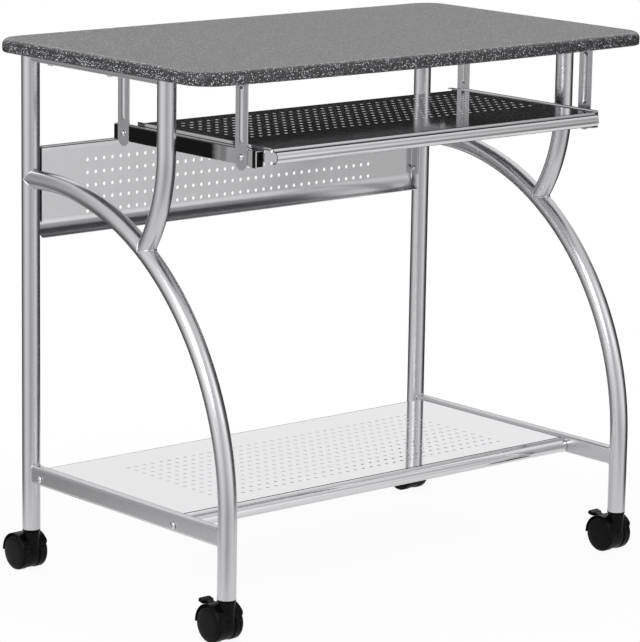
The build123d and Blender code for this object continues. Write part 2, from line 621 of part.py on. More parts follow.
def caster_socket():
    """Insert in a tube's lower end that grips the caster stem."""
    plug_d = TUBE_D - 2 * TUBE_WALL - 2 * SOCKET_GAP
    socket = rod(plug_d, TUBE_END_Z, TUBE_END_Z + SOCKET_L) + rod(TUBE_D, CASTER_H, TUBE_END_Z)
    return socket - rod(STEM_D + 2 * SEAT_GAP, 0, DESK_H)


def caster_stem():
    """Pin that stays in the socket while the hood turns on it."""
    stem = rod(STEM_D, CASTER_H - STEM_DOWN, CASTER_H + STEM_UP)
    return chamfer(stem.faces().sort_by(Axis.Z)[-1].edges(), STEM_CHAMFER)


def caster_axle_rod(diameter, half_length):
    """A cylinder along the wheel axle."""
    return Pos(0, CASTER_TRAIL, WHEEL_R) * facing_x(rod(diameter, -half_length, half_length), 1)


def caster_hood(with_lever):
    """Hood over both wheels, with the web between them that holds the axle and the stem."""
    fender = Pos(CASTER_TRAIL, WHEEL_R) * Circle(HOOD_R)
    floor_z = WHEEL_R - HOOD_FLOOR_DROP
    rear, front = CASTER_TRAIL + 2 * HOOD_R, CASTER_TRAIL - 2 * HOOD_R
    lift = 2 * HOOD_R * math.tan(math.radians(HOOD_FRONT_LIFT))
    upper_edge = [(rear, floor_z), (CASTER_TRAIL, floor_z), (front, floor_z + lift)]
    below = Polygon(*upper_edge, (front, -HOOD_R), (rear, -HOOD_R), align=None)
    hood = along_x(fender - below, HOOD_W / 2)
    hood = fillet(hood.faces().filter_by(Axis.X).edges(), HOOD_EDGE_R)
    boss = rod(HOOD_BOSS_D, WHEEL_R, HOOD_TOP)
    hood += fillet(boss.faces().sort_by(Axis.Z)[-1].edges(), HOOD_BOSS_R)
    well = rod(2 * (WHEEL_R + WHEEL_WELL_GAP), HOOD_WEB_W / 2, HOOD_W)
    hood -= [Pos(0, CASTER_TRAIL, WHEEL_R) * facing_x(well, s) for s in SIDES.values()]
    hood += caster_axle_rod(2 * HOOD_HUB_R, HOOD_WEB_W / 2)
    hood -= caster_axle_rod(AXLE_D + 2 * SEAT_GAP, HOOD_W)
    hood -= rod(STEM_D + 2 * RUNNING_GAP, CASTER_H - STEM_DOWN - SWIVEL_GAP, DESK_H)
    if with_lever:
        slot_w = LEVER_NECK_W + 2 * LEVER_SIDE_GAP
        slot_y = LEVER_PIVOT_Y - LEVER_HUB_R - LEVER_SIDE_GAP
        slot_z = LEVER_PIVOT_Z - LEVER_SLOT_DROP
        hood -= Pos(0, slot_y + HOOD_R, slot_z + HOOD_R) * Box(slot_w, 2 * HOOD_R, 2 * HOOD_R)
        pin_room = rod(LEVER_PIN_D + 2 * RUNNING_GAP, -HOOD_WEB_W / 2, HOOD_WEB_W / 2)
        hood -= Pos(0, LEVER_PIVOT_Y, LEVER_PIVOT_Z) * facing_x(pin_room, 1)
    return hood


def caster_axle():
    """Axle that both wheels of a caster run on."""
    reach = HOOD_WEB_W / 2 + WHEEL_GAP + WHEEL_W - AXLE_CAP - AXLE_END_GAP
    return caster_axle_rod(AXLE_D, reach)


def caster_wheel(side):
    """Wheel with a round outer shoulder, a dished face and a blind bore for the axle."""
    wheel = rod(WHEEL_D, 0, WHEEL_W)
    wheel = fillet(wheel.faces().sort_by(Axis.Z)[-1].edges(), WHEEL_OUTER_R)
    wheel = fillet(wheel.faces().sort_by(Axis.Z)[0].edges(), WHEEL_INNER_R)
    dish = rod(WHEEL_D - 2 * DISH_RIM, WHEEL_W - DISH_DEPTH, WHEEL_W) - rod(2 * DISH_HUB_R, 0, WHEEL_W)
    wheel = wheel - dish - rod(AXLE_D + 2 * RUNNING_GAP, 0, WHEEL_W - AXLE_CAP)
    inner_x = side * (HOOD_WEB_W / 2 + WHEEL_GAP)
    return Pos(inner_x, CASTER_TRAIL, WHEEL_R) * facing_x(wheel, side)


def brake_lever():
    """Foot lever: a hub with two pins, a neck out of the hood and a wide paddle."""
    hub = facing_x(rod(2 * LEVER_HUB_R, -LEVER_NECK_W / 2, LEVER_NECK_W / 2), 1)
    pin_half = LEVER_NECK_W / 2 + LEVER_PIN_L
    pins = facing_x(rod(LEVER_PIN_D, -pin_half, pin_half), 1)
    neck = Pos(0, LEVER_NECK_L / 2, 0) * Box(LEVER_NECK_W, LEVER_NECK_L, LEVER_T)
    paddle_l = LEVER_L - LEVER_NECK_L
    paddle = Pos(0, LEVER_NECK_L + paddle_l / 2, 0) * Box(LEVER_PADDLE_W, paddle_l, LEVER_T)
    paddle = fillet(paddle.edges().filter_by(Axis.Z), LEVER_T / 2)
    paddle = fillet(paddle.faces().sort_by(Axis.Z)[-1].edges(), LEVER_T / 3)
    lever = hub + pins + neck + paddle
    return Pos(0, LEVER_PIVOT_Y, LEVER_PIVOT_Z) * Rot(LEVER_TILT, 0, 0) * lever


def frame_nodes():
    """Nodes of the fixed frame, the shelf, the panel and the hangers."""
    nodes = {"desktop": desktop(), "rear_panel": rear_panel(), "lower_shelf": lower_shelf()}
    makers = {
        "arch_leg": arch_leg(),
        "upper_strut": upper_strut(),
        "top_rail": top_rail(),
        "lower_rail": lower_rail(),
    }
    for name, side in SIDES.items():
        place = Pos(side * FRAME_X, 0, 0)
        nodes[f"rear_post_{name}"] = place * drilled_post(side)
        for part, shape in makers.items():
            nodes[f"{part}_{name}"] = place * shape
        for end, y in HANGER_YS.items():
            nodes[f"tray_hanger_{end}_{name}"] = on_side(hanger(y), side)
    nodes["top_rail_screws"] = board_screws(top_screw_places(), TUBE_TOP_Z - TOP_RAIL_H)
    nodes["hanger_foot_screws"] = board_screws(foot_screw_places(), TUBE_TOP_Z - HANGER_T)
    nodes["slide_screws"] = slide_screws()
    nodes["shelf_screws"] = shelf_screws()
    nodes["shelf_nuts"] = shelf_nuts()
    nodes["panel_screws"] = panel_screws()
    return nodes


def tray_nodes():
    """Nodes of the keyboard tray and its slides."""
    nodes = {"keyboard_tray": keyboard_tray(), "tray_screws": tray_screws()}
    nodes |= {"slide_balls": slide_balls(), "slide_bumpers": slide_bumpers()}
    members = {"slide_outer": slide_outer(), "slide_inner": slide_inner(), "slide_cage": slide_cage()}
    for name, side in SIDES.items():
        for part, shape in members.items():
            nodes[f"{part}_{name}"] = on_side(shape, side)
    return nodes


def caster_nodes():
    """Nodes of the four casters."""
    nodes = {}
    for corner, (x, y) in CASTERS.items():
        place = Pos(x, y, 0)
        braked = corner.startswith("front")
        nodes[f"{corner}_caster_socket"] = place * caster_socket()
        nodes[f"{corner}_caster_stem"] = place * caster_stem()
        nodes[f"{corner}_caster_hood"] = place * caster_hood(braked)
        nodes[f"{corner}_caster_axle"] = place * caster_axle()
        for name, side in SIDES.items():
            nodes[f"{corner}_caster_wheel_{name}"] = place * caster_wheel(side)
        if braked:
            nodes[f"{corner}_brake_lever"] = place * brake_lever()
    return nodes


def main():
    """Write one STEP file for each node."""
    os.makedirs("parts", exist_ok=True)
    for name, shape in (frame_nodes() | tray_nodes() | caster_nodes()).items():
        pieces = shape if isinstance(shape, list) else [shape]
        solids = [solid for piece in pieces for solid in piece.solids()]
        export_step(solids[0] if len(solids) == 1 else Compound(solids), f"parts/{name}.step")


if __name__ == "__main__":
    main()
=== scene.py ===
import math

import bmesh
import bpy
from bpy.props import FloatProperty, FloatVectorProperty, IntProperty, PointerProperty
from mathutils import Matrix, Vector


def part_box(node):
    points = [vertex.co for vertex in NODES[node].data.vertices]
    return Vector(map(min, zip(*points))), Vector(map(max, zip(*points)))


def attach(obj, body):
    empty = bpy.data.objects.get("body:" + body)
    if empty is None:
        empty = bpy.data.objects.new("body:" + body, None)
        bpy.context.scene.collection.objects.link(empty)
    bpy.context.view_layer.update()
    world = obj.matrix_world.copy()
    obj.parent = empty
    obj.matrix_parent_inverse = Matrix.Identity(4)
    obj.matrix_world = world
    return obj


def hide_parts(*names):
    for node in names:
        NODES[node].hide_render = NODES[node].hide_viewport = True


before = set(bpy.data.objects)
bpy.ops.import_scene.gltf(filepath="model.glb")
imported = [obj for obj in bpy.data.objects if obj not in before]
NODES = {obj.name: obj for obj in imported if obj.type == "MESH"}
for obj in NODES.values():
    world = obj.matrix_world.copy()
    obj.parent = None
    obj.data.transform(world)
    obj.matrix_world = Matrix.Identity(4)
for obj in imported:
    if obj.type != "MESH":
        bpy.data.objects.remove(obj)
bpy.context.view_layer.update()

bl_info = {
    "name": "Rolling Computer Desk",
    "version": (1, 0, 0),
    "blender": (4, 5, 0),
    "location": "3D View > Sidebar > Desk",
    "description": "Pierced sheets, screws, welds, finishes and a plain studio for a rolling desk",
    "category": "Object",
}

MM = 0.001
SIDES = (-1, 1)

# Places that the frame gives
BOARD_UNDERSIDE_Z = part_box("desktop")[0][2]
TRAY_LOW, TRAY_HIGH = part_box("keyboard_tray")
SHELF_LOW, SHELF_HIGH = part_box("lower_shelf")
PANEL_LOW, PANEL_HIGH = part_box("rear_panel")
BUMPER_FRONT_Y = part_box("slide_bumpers")[0][1]
POST_LOW, POST_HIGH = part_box("rear_post_right")
LEG_LOW, LEG_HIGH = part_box("arch_leg_right")
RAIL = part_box("lower_rail_right")
TOP_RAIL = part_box("top_rail_right")
TUBE_R = (POST_HIGH[0] - POST_LOW[0]) / 2
FRAME_X = (POST_HIGH[0] + POST_LOW[0]) / 2
POST_Y = (POST_HIGH[1] + POST_LOW[1]) / 2
LEG_Y = LEG_LOW[1] + TUBE_R
STRUT_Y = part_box("upper_strut_right")[0][1] + TUBE_R
ARCH_TOP_Z = LEG_HIGH[2] - TUBE_R

# Studio that shiny metal sees: degrees to the right of straight ahead, and level there
SOFT_BOXES = (
    (-180, 0.46), (-150, 0.80), (-128, 1.00), (-105, 0.80), (-83, 0.46), (-60, 0.14),
    (-45, 0.05), (-10, 0.015), (10, 0.015), (45, 0.03), (70, 0.06), (83, 0.14),
    (94, 0.42), (103, 0.95), (128, 0.90), (150, 0.70), (180, 0.46),
)
BACKDROP = ((-50, 0.0), (-30, 1.0), (30, 1.0), (50, 0.0))
# Degrees above the level between which the backdrop and the ceiling come in
HORIZON = (10.2, 11.8)
CEILING = (20.0, 48.0)
# Degrees, below the level, between which the far floor gives way to the soft boxes
FAR_FLOOR = (-42.0, -28.0)
# Soft boxes are dimmer at their lower ends: degrees, and levels there
BOX_ENDS = (-15.0, 0.0)
BOX_LEVELS = (0.86, 1.26)
# How much of the floor's look is its own glow, and how much of that a mirror shows
FLOOR_GLOW = 0.93
MIRRORED_GLOW = 0.4
# Share of the floor's radius from where it fades out
FLOOR_FADE = 0.6
FLOOR_SIDES = 96
SENSOR_WIDTH = 36.0
CLIP_END = 50.0
LAMP_AIM = (0, 0, 0.45)
LAMP_SIZE = 1.6
KEY_PLACE = (-2.6, -1.1, 1.9)
FILL_PLACE = (0.6, -2.8, 2.0)

# Distances below which points are one, and angles above which an edge stays sharp
SAME_POINT = 0.001 * MM
SAME_SHAPE_POINT = 0.002 * MM
SAME_HOLE_POINT = 0.02 * MM
SHARP_EDGE = math.radians(35)
SHARP_SCREW_EDGE = math.radians(32)

# Range that the values of noise fill for the most part
NOISE_RANGE = (0.25, 0.75)
METAL = {"Metallic": 1.0}
DEEP_BLACK = {"Specular IOR Level": 0.09}

# Board: how far up its backing reaches, and how strong its small specks are
BACKING_REACH = 0.1 * MM
SMALL_SPECKS = 0.5
# Painted highlights and a painted reflection in bright metal on the slides' enamel: painted highlights along
# their edges and at their front ends, and a painted reflection from their front ends back to these places
PAINTED_EDGE_HIGHLIGHT = 0.7 * MM
PAINTED_EDGE_HIGHLIGHT_NOISE = 0.6 * MM
PAINTED_REFLECTION_FRONT = (62 * MM, 86 * MM)
PAINTED_REFLECTION_SHARE = 0.7
PAINTED_END_HIGHLIGHT = 1.2 * MM
PAINTED_BORDER_STREAK = 6 * MM

# Steps in round shapes
BEND_STEPS = 6
CREASE_STEPS = 4
LIP_STEPS = 40
FOOT_STEPS = 16
TRAY_BEAD_STEPS = 8
LIP_END_STEPS = 32
APRON_STEPS = 12
WEB_STEPS = 40
CAP_STEPS = 48
CAP_RINGS = 14
WELD_STEPS = 44
BEAD_POINTS = 72
BEAD_SIDES = 10
HEAD_SIDES = 28
HEAD_RINGS = 6
SHANK_SIDES = 14

# Rolled lips: degrees where the roll starts, and the rise before it
LIP_START = 93
LIP_RISE = 0.2 * MM
# Walls of holes: steps down, and the share of the half thickness beyond which a ring is at an end
HOLE_STEPS = 3
HOLE_END = 0.8
# Room between a bumper's rear rim and its slide
RIM_GAP = 0.1 * MM

# Hanger strips: places across, as shares of the half width and close together over the rib; rows; tip's turns
RIB_COLUMNS = (-1.0, -0.7, -0.45, *(0.04 * i for i in range(-9, 10)), 0.45, 0.7, 1.0)
STRIP_ROWS = 60
TIP_TURNS = (12, 24, 36, 48, 60, 70, 79, 86)

# Shares: thinning of the hood's front, its cut corners, inner radius of the web, width of the tray's bead
APRON_THINNING = 0.85
APRON_EDGE = 0.4
WEB_INNER = 0.3
TRAY_BEAD_WIDTH = 0.9

# Screw heads: how they round off, how deep each slot is, and how thick and how far up the shank is
HEAD_LEVEL, HEAD_POWER, HEAD_ROOT = 0.93, 2.4, 0.42
SLOT_DEPTHS = (1.3, 1.24)
SHANK_WIDTH = 0.46
SHANK_SEAT = 0.8

# Weld beads: corners of the two kinds of rail, and the bead's least radius, ripple and ripple scale
RAIL_CORNER = 4 * MM
TOP_RAIL_CORNER = 3 * MM
BEAD_LEAST, BEAD_RIPPLE, BEAD_SCALE = 0.72, 0.56, 420.0

# Screws by body: node, axis of the screw, and whether its head looks away from the middle
FRAME_SCREWS = (
    ("slide_screws", "X", 1),
    ("shelf_screws", "X", 1),
    ("panel_screws", "X", -1),
    ("top_rail_screws", "Z", -1),
    ("hanger_foot_screws", "Z", -1),
)
TRAY_SCREWS = (("tray_screws", "X", -1),)


class Tree:
    """A node tree that is filled node by node."""

    def __init__(self, tree):
        self.tree = tree

    def link(self, value, socket):
        """Link an output to an input, or set the input's own value."""
        if isinstance(value, bpy.types.NodeSocket):
            self.tree.links.new(value, socket)
        else:
            socket.default_value = value

    def add(self, kind, inputs=None, **settings):
        """A new node with its settings, and its inputs given by name or number."""
        node = self.tree.nodes.new(kind)
        for name, value in settings.items():
            setattr(node, name, value)
        for key, value in (inputs or {}).items():
            for item in value if isinstance(value, list) else [value]:
                self.link(item, node.inputs[key])
        return node

    def out(self, kind, inputs=None, output=0, **settings):
        """One output of a new node."""
        return self.add(kind, inputs, **settings).outputs[output]

    def math(self, operation, a, b=0.0, clamp=False):
        """The result of a sum on one or two numbers."""
        return self.out("ShaderNodeMath", {0: a, 1: b}, operation=operation, use_clamp=clamp)

    def plus(self, a, b):
        return self.math("ADD", a, b)

    def minus(self, a, b):
        return self.math("SUBTRACT", a, b)

    def times(self, a, b):
        return self.math("MULTIPLY", a, b)

    def vector(self, x=0.0, y=0.0, z=0.0):
        """A vector from its parts."""
        return self.out("ShaderNodeCombineXYZ", {"X": x, "Y": y, "Z": z})

    def parts(self, vector):
        """The parts of a vector, by axis."""
        return self.add("ShaderNodeSeparateXYZ", {0: vector}).outputs

    def mix(self, fac, low, high):
        """A colour between two."""
        return self.out("ShaderNodeMix", {0: fac, 6: low, 7: high}, 2, data_type="RGBA")


# Geometry trees and pieces


def shape_tree(name, floats, ints=(), takes_points=False):
    """An empty geometry tree with named size inputs and a finish input, and its inputs."""
    tree = bpy.data.node_groups.new(name, "GeometryNodeTree")
    sockets = [("Geometry", "Geometry")] if takes_points else []
    sockets += [(size, "Float") for size in floats] + [(count, "Int") for count in ints]
    for label, kind in (*sockets, ("Finish", "Material")):
        tree.interface.new_socket(label, in_out="INPUT", socket_type=f"NodeSocket{kind}")
    tree.interface.new_socket("Geometry", in_out="OUTPUT", socket_type="NodeSocketGeometry")
    t = Tree(tree)
    return t, t.add("NodeGroupInput").outputs


def finish_shape(t, geometry, given, distance, smooth):
    """Close a geometry tree: realize, merge, shade, set the finish and give the result out."""
    real = t.out("GeometryNodeRealizeInstances", {0: geometry})
    shape = t.out("GeometryNodeMergeByDistance", {"Geometry": real, "Distance": distance})
    if smooth:
        shape = t.out("GeometryNodeSetShadeSmooth", {0: shape, "Shade Smooth": True})
    shape = t.out("GeometryNodeSetMaterial", {0: shape, "Material": given["Finish"]})
    t.add("NodeGroupOutput", {0: shape})
    return t.tree


def grow(tree, source, values):
    """The plain mesh that a geometry tree makes from a source mesh and its named inputs."""
    obj = bpy.data.objects.new("grown", source)
    bpy.context.collection.objects.link(obj)
    modifier = obj.modifiers.new("shape", "NODES")
    modifier.node_group = tree
    for item in tree.interface.items_tree:
        if item.in_out == "INPUT" and item.name in values:
            modifier[item.identifier] = values[item.name]
    bpy.context.view_layer.update()
    evaluated = obj.evaluated_get(bpy.context.evaluated_depsgraph_get())
    mesh = bpy.data.meshes.new_from_object(evaluated)
    obj.modifiers.remove(modifier)
    bpy.data.objects.remove(obj)
    if not mesh.polygons:
        raise RuntimeError(f"{tree.name} made no faces")
    one_finish(mesh, values["Finish"])
    return mesh


def one_finish(mesh, material):
    """Give a mesh a single finish all over."""
    mesh.materials.clear()
    mesh.materials.append(material)
    for face in mesh.polygons:
        face.material_index = 0


def mesh_of(bm, name):
    """A mesh from a bmesh, which is used up."""
    mesh = bpy.data.meshes.new(name)
    bm.to_mesh(mesh)
    bm.free()
    return mesh


def soft_mesh(bm, name):
    """A mesh with its faces turned out and its soft edges smooth."""
    bmesh.ops.recalc_face_normals(bm, faces=bm.faces)
    mesh = mesh_of(bm, name)
    mesh.shade_smooth()
    mesh.set_sharp_from_angle(angle=SHARP_EDGE)
    return mesh


def solid_mesh(bm, name, finish_name):
    """A soft mesh with its doubles merged, in one finish."""
    bmesh.ops.remove_doubles(bm, verts=bm.verts, dist=SAME_POINT)
    bmesh.ops.dissolve_degenerate(bm, edges=bm.edges, dist=SAME_POINT)
    mesh = soft_mesh(bm, name)
    one_finish(mesh, finish(finish_name))
    return mesh


def new_piece(name, mesh, body, nodes=()):
    """A finished piece at the origin that rides on a body and may stand for CAD nodes."""
    obj = bpy.data.objects.new(name, mesh)
    mesh.name = name
    bpy.context.collection.objects.link(obj)
    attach(obj, body)
    if nodes:
        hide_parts(*nodes)


def nodes_with(*words):
    """CAD nodes whose names hold one of the words."""
    return [n for n in NODES if any(w in n for w in words)]


def corners(node):
    """Low and high corner of a CAD node's box."""
    return [Vector(corner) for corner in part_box(node)]


def islands(node):
    """Boxes of the separate solids in a CAD node."""
    bm = bmesh.new()
    bm.from_mesh(NODES[node].data)
    bmesh.ops.remove_doubles(bm, verts=bm.verts, dist=SAME_POINT)
    left = set(bm.verts)
    boxes = []
    while left:
        group, todo = [], [left.pop()]
        while todo:
            vert = todo.pop()
            group.append(vert.co.copy())
            near = {e.other_vert(vert) for e in vert.link_edges} & left
            left -= near
            todo.extend(near)
        low = Vector(min(p[i] for p in group) for i in range(3))
        high = Vector(max(p[i] for p in group) for i in range(3))
        boxes.append((low, high))
    bm.free()
    return sorted(boxes, key=lambda box: tuple(round(c, 5) for c in box[0]))


# Finishes


def new_finish(name, levels):
    """A material, its tree and its shader, with the levels that stay the same all over."""
    material = bpy.data.materials.new(name)
    material.use_nodes = True
    shader = material.node_tree.nodes["Principled BSDF"]
    for socket, level in levels.items():
        shader.inputs[socket].default_value = level
    return material, Tree(material.node_tree), shader


def dress(t, shader, colour, roughness, relief, depth):
    """Link a shader's colour, its roughness, and a relief of a given depth in metres."""
    t.link(colour, shader.inputs["Base Color"])
    t.link(roughness, shader.inputs["Roughness"])
    normal = t.out("ShaderNodeBump", {"Height": relief, "Distance": depth, "Strength": 1.0})
    t.link(normal, shader.inputs["Normal"])


def own_place(t):
    """The piece's own coordinates."""
    return t.out("ShaderNodeTexCoord", output="Object")


def noise(t, scale, detail=2.0, roughness=0.5, stretch=None):
    """Noise on the piece's own coordinates, with an optional stretch along its axes."""
    place = own_place(t)
    if stretch:
        place = t.out("ShaderNodeMapping", {"Vector": place, "Scale": stretch})
    inputs = {"Vector": place, "Scale": scale, "Detail": detail, "Roughness": roughness}
    return t.out("ShaderNodeTexNoise", inputs, "Fac")


def cells(t, scale):
    """Random cells on the piece's own coordinates: a number for each cell and the way to its middle."""
    node = t.add("ShaderNodeTexVoronoi", {"Vector": own_place(t), "Scale": scale})
    return t.out("ShaderNodeSeparateColor", {0: node.outputs["Color"]}), node.outputs["Distance"]


def dots(t, scale, bare, size):
    """Dots of a given size in random cells, with the share of cells that stay bare."""
    number, away = cells(t, scale)
    return t.times(t.math("GREATER_THAN", number, bare), t.math("LESS_THAN", away, size))


def ramp(t, fac, stops):
    """A grey ramp from (place, level) stops."""
    node = t.add("ShaderNodeValToRGB", {0: fac})
    elements = node.color_ramp.elements
    while len(elements) < len(stops):
        elements.new(1.0)
    for element, (place, level) in zip(elements, stops):
        element.position = place
        element.color = (level, level, level, 1)
    return node.outputs[0]


def map_range(t, value, ends, levels=(0.0, 1.0), kind="LINEAR"):
    """A value brought from between two ends to between two levels."""
    names = ("From Min", "From Max", "To Min", "To Max")
    inputs = {"Value": value, **dict(zip(names, (*ends, *levels)))}
    return t.out("ShaderNodeMapRange", inputs, interpolation_type=kind)


def spread(t, fac, low, high):
    """A number between low and high that follows a texture."""
    return map_range(t, fac, NOISE_RANGE, (low, high))


def tint(t, fac, colour, low, high):
    """A colour made darker or lighter, following a texture."""
    return t.mix(fac, *((*(min(1.0, c * factor) for c in colour), 1) for factor in (low, high)))


def speckled_laminate(look):
    """Near-black laminate with light specks, a satin face and a paler backing on its underside."""
    coat = {"IOR": 1.38, "Coat Weight": 0.9, "Coat Roughness": 0.3, "Coat IOR": 1.38}
    material, t, shader = new_finish("speckled_laminate", coat)
    small = dots(t, scale=1000.0, bare=0.78, size=0.42)
    large = dots(t, scale=510.0, bare=0.75, size=0.38)
    specks = t.math("MAXIMUM", t.times(small, SMALL_SPECKS), large)
    haze = spread(t, noise(t, scale=420.0, detail=4.0), low=0.0, high=0.02)
    amount = t.math("ADD", specks, haze, clamp=True)
    below = t.math("LESS_THAN", t.parts(own_place(t))["Z"], BOARD_UNDERSIDE_Z + BACKING_REACH)
    amount = t.math("MAXIMUM", amount, t.times(below, look.board_backing))
    colour = t.mix(amount, (*look.board, 1), (*look.board_specks, 1))
    roughness = spread(t, noise(t, scale=260.0, detail=3.0), low=0.36, high=0.42)
    dress(t, shader, colour, roughness, noise(t, scale=700.0, detail=3.0), depth=0.01 * MM)
    return material


def silver_paint(look):
    """Silver paint on tube: fine flake, a slight orange peel and a smooth clear coat."""
    coat = {**METAL, "Coat Weight": 0.25, "Coat Roughness": 0.06}
    material, t, shader = new_finish("silver_paint", coat)
    flake, _ = cells(t, scale=5200.0)
    roughness = spread(t, noise(t, scale=90.0, detail=3.0), low=0.22, high=0.27)
    peel = noise(t, scale=260.0, detail=1.0)
    dress(t, shader, tint(t, flake, look.tube, 0.97, 1.03), roughness, peel, depth=0.0015 * MM)
    return material


def sheet_metal(name, look, smoothest, roughest, shade=1.0):
    """Silver sheet with a faint wave and fine grain, as smooth as asked, its colour darkened by a painted
    shade when shade is below 1.
    """
    material, t, shader = new_finish(name, METAL)
    # Painted shade: a shade below 1 darkens the sheet's silver
    grain = tint(t, noise(t, scale=900.0, detail=3.0), look.sheet, 0.94 * shade, 1.04 * shade)
    roughness = spread(t, noise(t, scale=60.0, detail=4.0), smoothest, roughest)
    dress(t, shader, grain, roughness, noise(t, scale=9.0, detail=1.0), depth=0.06 * MM)
    return material


def bright_sheet(look):
    """Tray and shelf: nearly a mirror."""
    return sheet_metal("bright_sheet", look, smoothest=0.055, roughest=0.08)


def satin_sheet_painted_shade(look):
    """Rear panel: softer than the other sheets, and darker than them by a painted shade."""
    # Painted shade: the panel's silver is darkened to 0.86 of the other sheets'
    return sheet_metal("satin_sheet_painted_shade", look, smoothest=0.20, roughest=0.25, shade=0.86)


def black_enamel(look):
    """Glossy black enamel on the slides, with painted highlights in bright metal along their edges and at
    their front ends, and a painted reflection towards their front ends.
    """
    material, t, shader = new_finish("black_enamel", DEEP_BLACK)
    low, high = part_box("slide_outer_left")
    place = t.parts(own_place(t))
    # Painted highlight: a thin band of bright metal along the top and bottom edges, with a noisy inner border
    away = t.math("ABSOLUTE", t.minus(place["Z"], (low[2] + high[2]) / 2))
    away = t.plus(away, t.times(noise(t, scale=300.0, detail=3.0), PAINTED_EDGE_HIGHLIGHT_NOISE))
    edge = t.math("GREATER_THAN", away, (high[2] - low[2]) / 2 - PAINTED_EDGE_HIGHLIGHT)
    # Painted reflection: bright metal that fades in towards the front end, along a streaky border
    streak = t.times(noise(t, scale=60.0, detail=3.0, stretch=(1, 1, 4)), PAINTED_BORDER_STREAK)
    back = t.plus(t.minus(place["Y"], low[1]), streak)
    painted_reflection = map_range(t, back, PAINTED_REFLECTION_FRONT[::-1], (0.0, PAINTED_REFLECTION_SHARE), "SMOOTHSTEP")
    # Painted highlight: a thin band of bright metal at the front end
    end = t.math("LESS_THAN", back, PAINTED_END_HIGHLIGHT + 0.5 * PAINTED_BORDER_STREAK)
    # Where the painted highlights and the painted reflection lie, the enamel turns to bright metal
    bare = t.math("MAXIMUM", t.math("MAXIMUM", edge, end), painted_reflection)
    t.link(bare, shader.inputs["Metallic"])
    colour = t.mix(bare, (*look.black, 1), (*look.zinc, 1))
    roughness = spread(t, noise(t, scale=140.0, detail=3.0), low=0.08, high=0.14)
    dress(t, shader, colour, roughness, noise(t, scale=25.0), depth=0.10 * MM)
    return material


def bright_zinc(look):
    """Zinc plate on screws, nuts, pins and rims, with a fine crystal cloud."""
    material, t, shader = new_finish("bright_zinc", METAL)
    cloud = noise(t, scale=700.0, detail=4.0)
    colour = tint(t, cloud, look.zinc, 0.82, 1.08)
    roughness = spread(t, cloud, low=0.20, high=0.36)
    dress(t, shader, colour, roughness, noise(t, scale=1500.0), depth=0.01 * MM)
    return material


def cage_nylon(look):
    """Pale matte nylon of the ball cages."""
    material, t, shader = new_finish("cage_nylon", {})
    cloud = tint(t, noise(t, scale=300.0, detail=3.0), look.cage, 0.88, 1.0)
    roughness = spread(t, noise(t, scale=500.0), low=0.45, high=0.6)
    dress(t, shader, cloud, roughness, noise(t, scale=1200.0), depth=0.02 * MM)
    return material


def black_moulding(look):
    """Glossy black moulded plastic of the casters, levers and bumpers."""
    material, t, shader = new_finish("black_moulding", DEEP_BLACK)
    cloud = tint(t, noise(t, scale=350.0, detail=4.0), look.black, 0.8, 1.5)
    roughness = spread(t, noise(t, scale=220.0, detail=4.0), low=0.14, high=0.22)
    dress(t, shader, cloud, roughness, noise(t, scale=1400.0), depth=0.004 * MM)
    return material


def wheel_nylon(look):
    """Hard black nylon of the wheels, a little dusty."""
    material, t, shader = new_finish("wheel_nylon", DEEP_BLACK)
    dust = noise(t, scale=160.0, detail=5.0, roughness=0.65)
    dusty = tint(t, t.math("POWER", dust, 3.0), look.black, 1.2, 3.0)
    roughness = spread(t, dust, low=0.16, high=0.26)
    dress(t, shader, dusty, roughness, noise(t, scale=900.0, detail=3.0), depth=0.006 * MM)
    return material


FINISH_MAKERS = {
    "board": speckled_laminate,
    "silver_tube": silver_paint,
    "silver_sheet": bright_sheet,
    "panel_sheet": satin_sheet_painted_shade,
    "black_steel": black_enamel,
    "zinc": bright_zinc,
    "cage_plastic": cage_nylon,
    "black_plastic": black_moulding,
    "wheels": wheel_nylon,
}


def finish(name):
    """The material of a slot, made when it is first asked for."""
    maker = FINISH_MAKERS[name]
    made = bpy.data.materials.get(maker.__name__)
    return made or maker(bpy.context.scene.desk.look)


def paint(nodes, name):
    """Give CAD nodes a finish."""
    material = finish(name)
    for node in nodes:
        for slot in NODES[node].material_slots:
            slot.material = material


# Lines, sections and bodies


def arc(middle, radius, start, end, steps):
    """Points on an arc, with its angles in degrees."""
    turns = [math.radians(start + (end - start) * i / steps) for i in range(steps + 1)]
    return [(middle[0] + radius * math.cos(a), middle[1] + radius * math.sin(a)) for a in turns]


def full_turn(steps):
    """Angles all the way round."""
    return [2 * math.pi * i / steps for i in range(steps)]


def rounded_box(half_w, half_h, radius):
    """Points round a box with round corners."""
    points = []
    for start, sx, sz in ((0, 1, 1), (90, -1, 1), (180, -1, -1), (270, 1, -1)):
        middle = (sx * (half_w - radius), sz * (half_h - radius))
        points += arc(middle, radius, start, start + 90, BEND_STEPS)
    return points


def skin(bm, spots, closed=False):
    """Add a body through loops of points, with flat ends, or closed from its last loop to its first."""
    loops = [[bm.verts.new(spot) for spot in loop] for loop in spots]
    for near, far in zip(loops, [*loops[1:], loops[0]] if closed else loops[1:]):
        for i, vert in enumerate(near):
            bm.faces.new((near[i - 1], vert, far[i], far[i - 1]))
    if not closed:
        bm.faces.new(loops[0])
        bm.faces.new(loops[-1])


def bend_down(edge, top, drop, sheet):
    """Outer line of a sheet's edge that bends down at a place: a strip, a round corner and a flange."""
    r = sheet.bend_radius
    corner = arc((edge - r, top - r), r, 90, 0, BEND_STEPS)
    return [(edge - sheet.edge_strip, top), *corner, (edge, top - drop)]


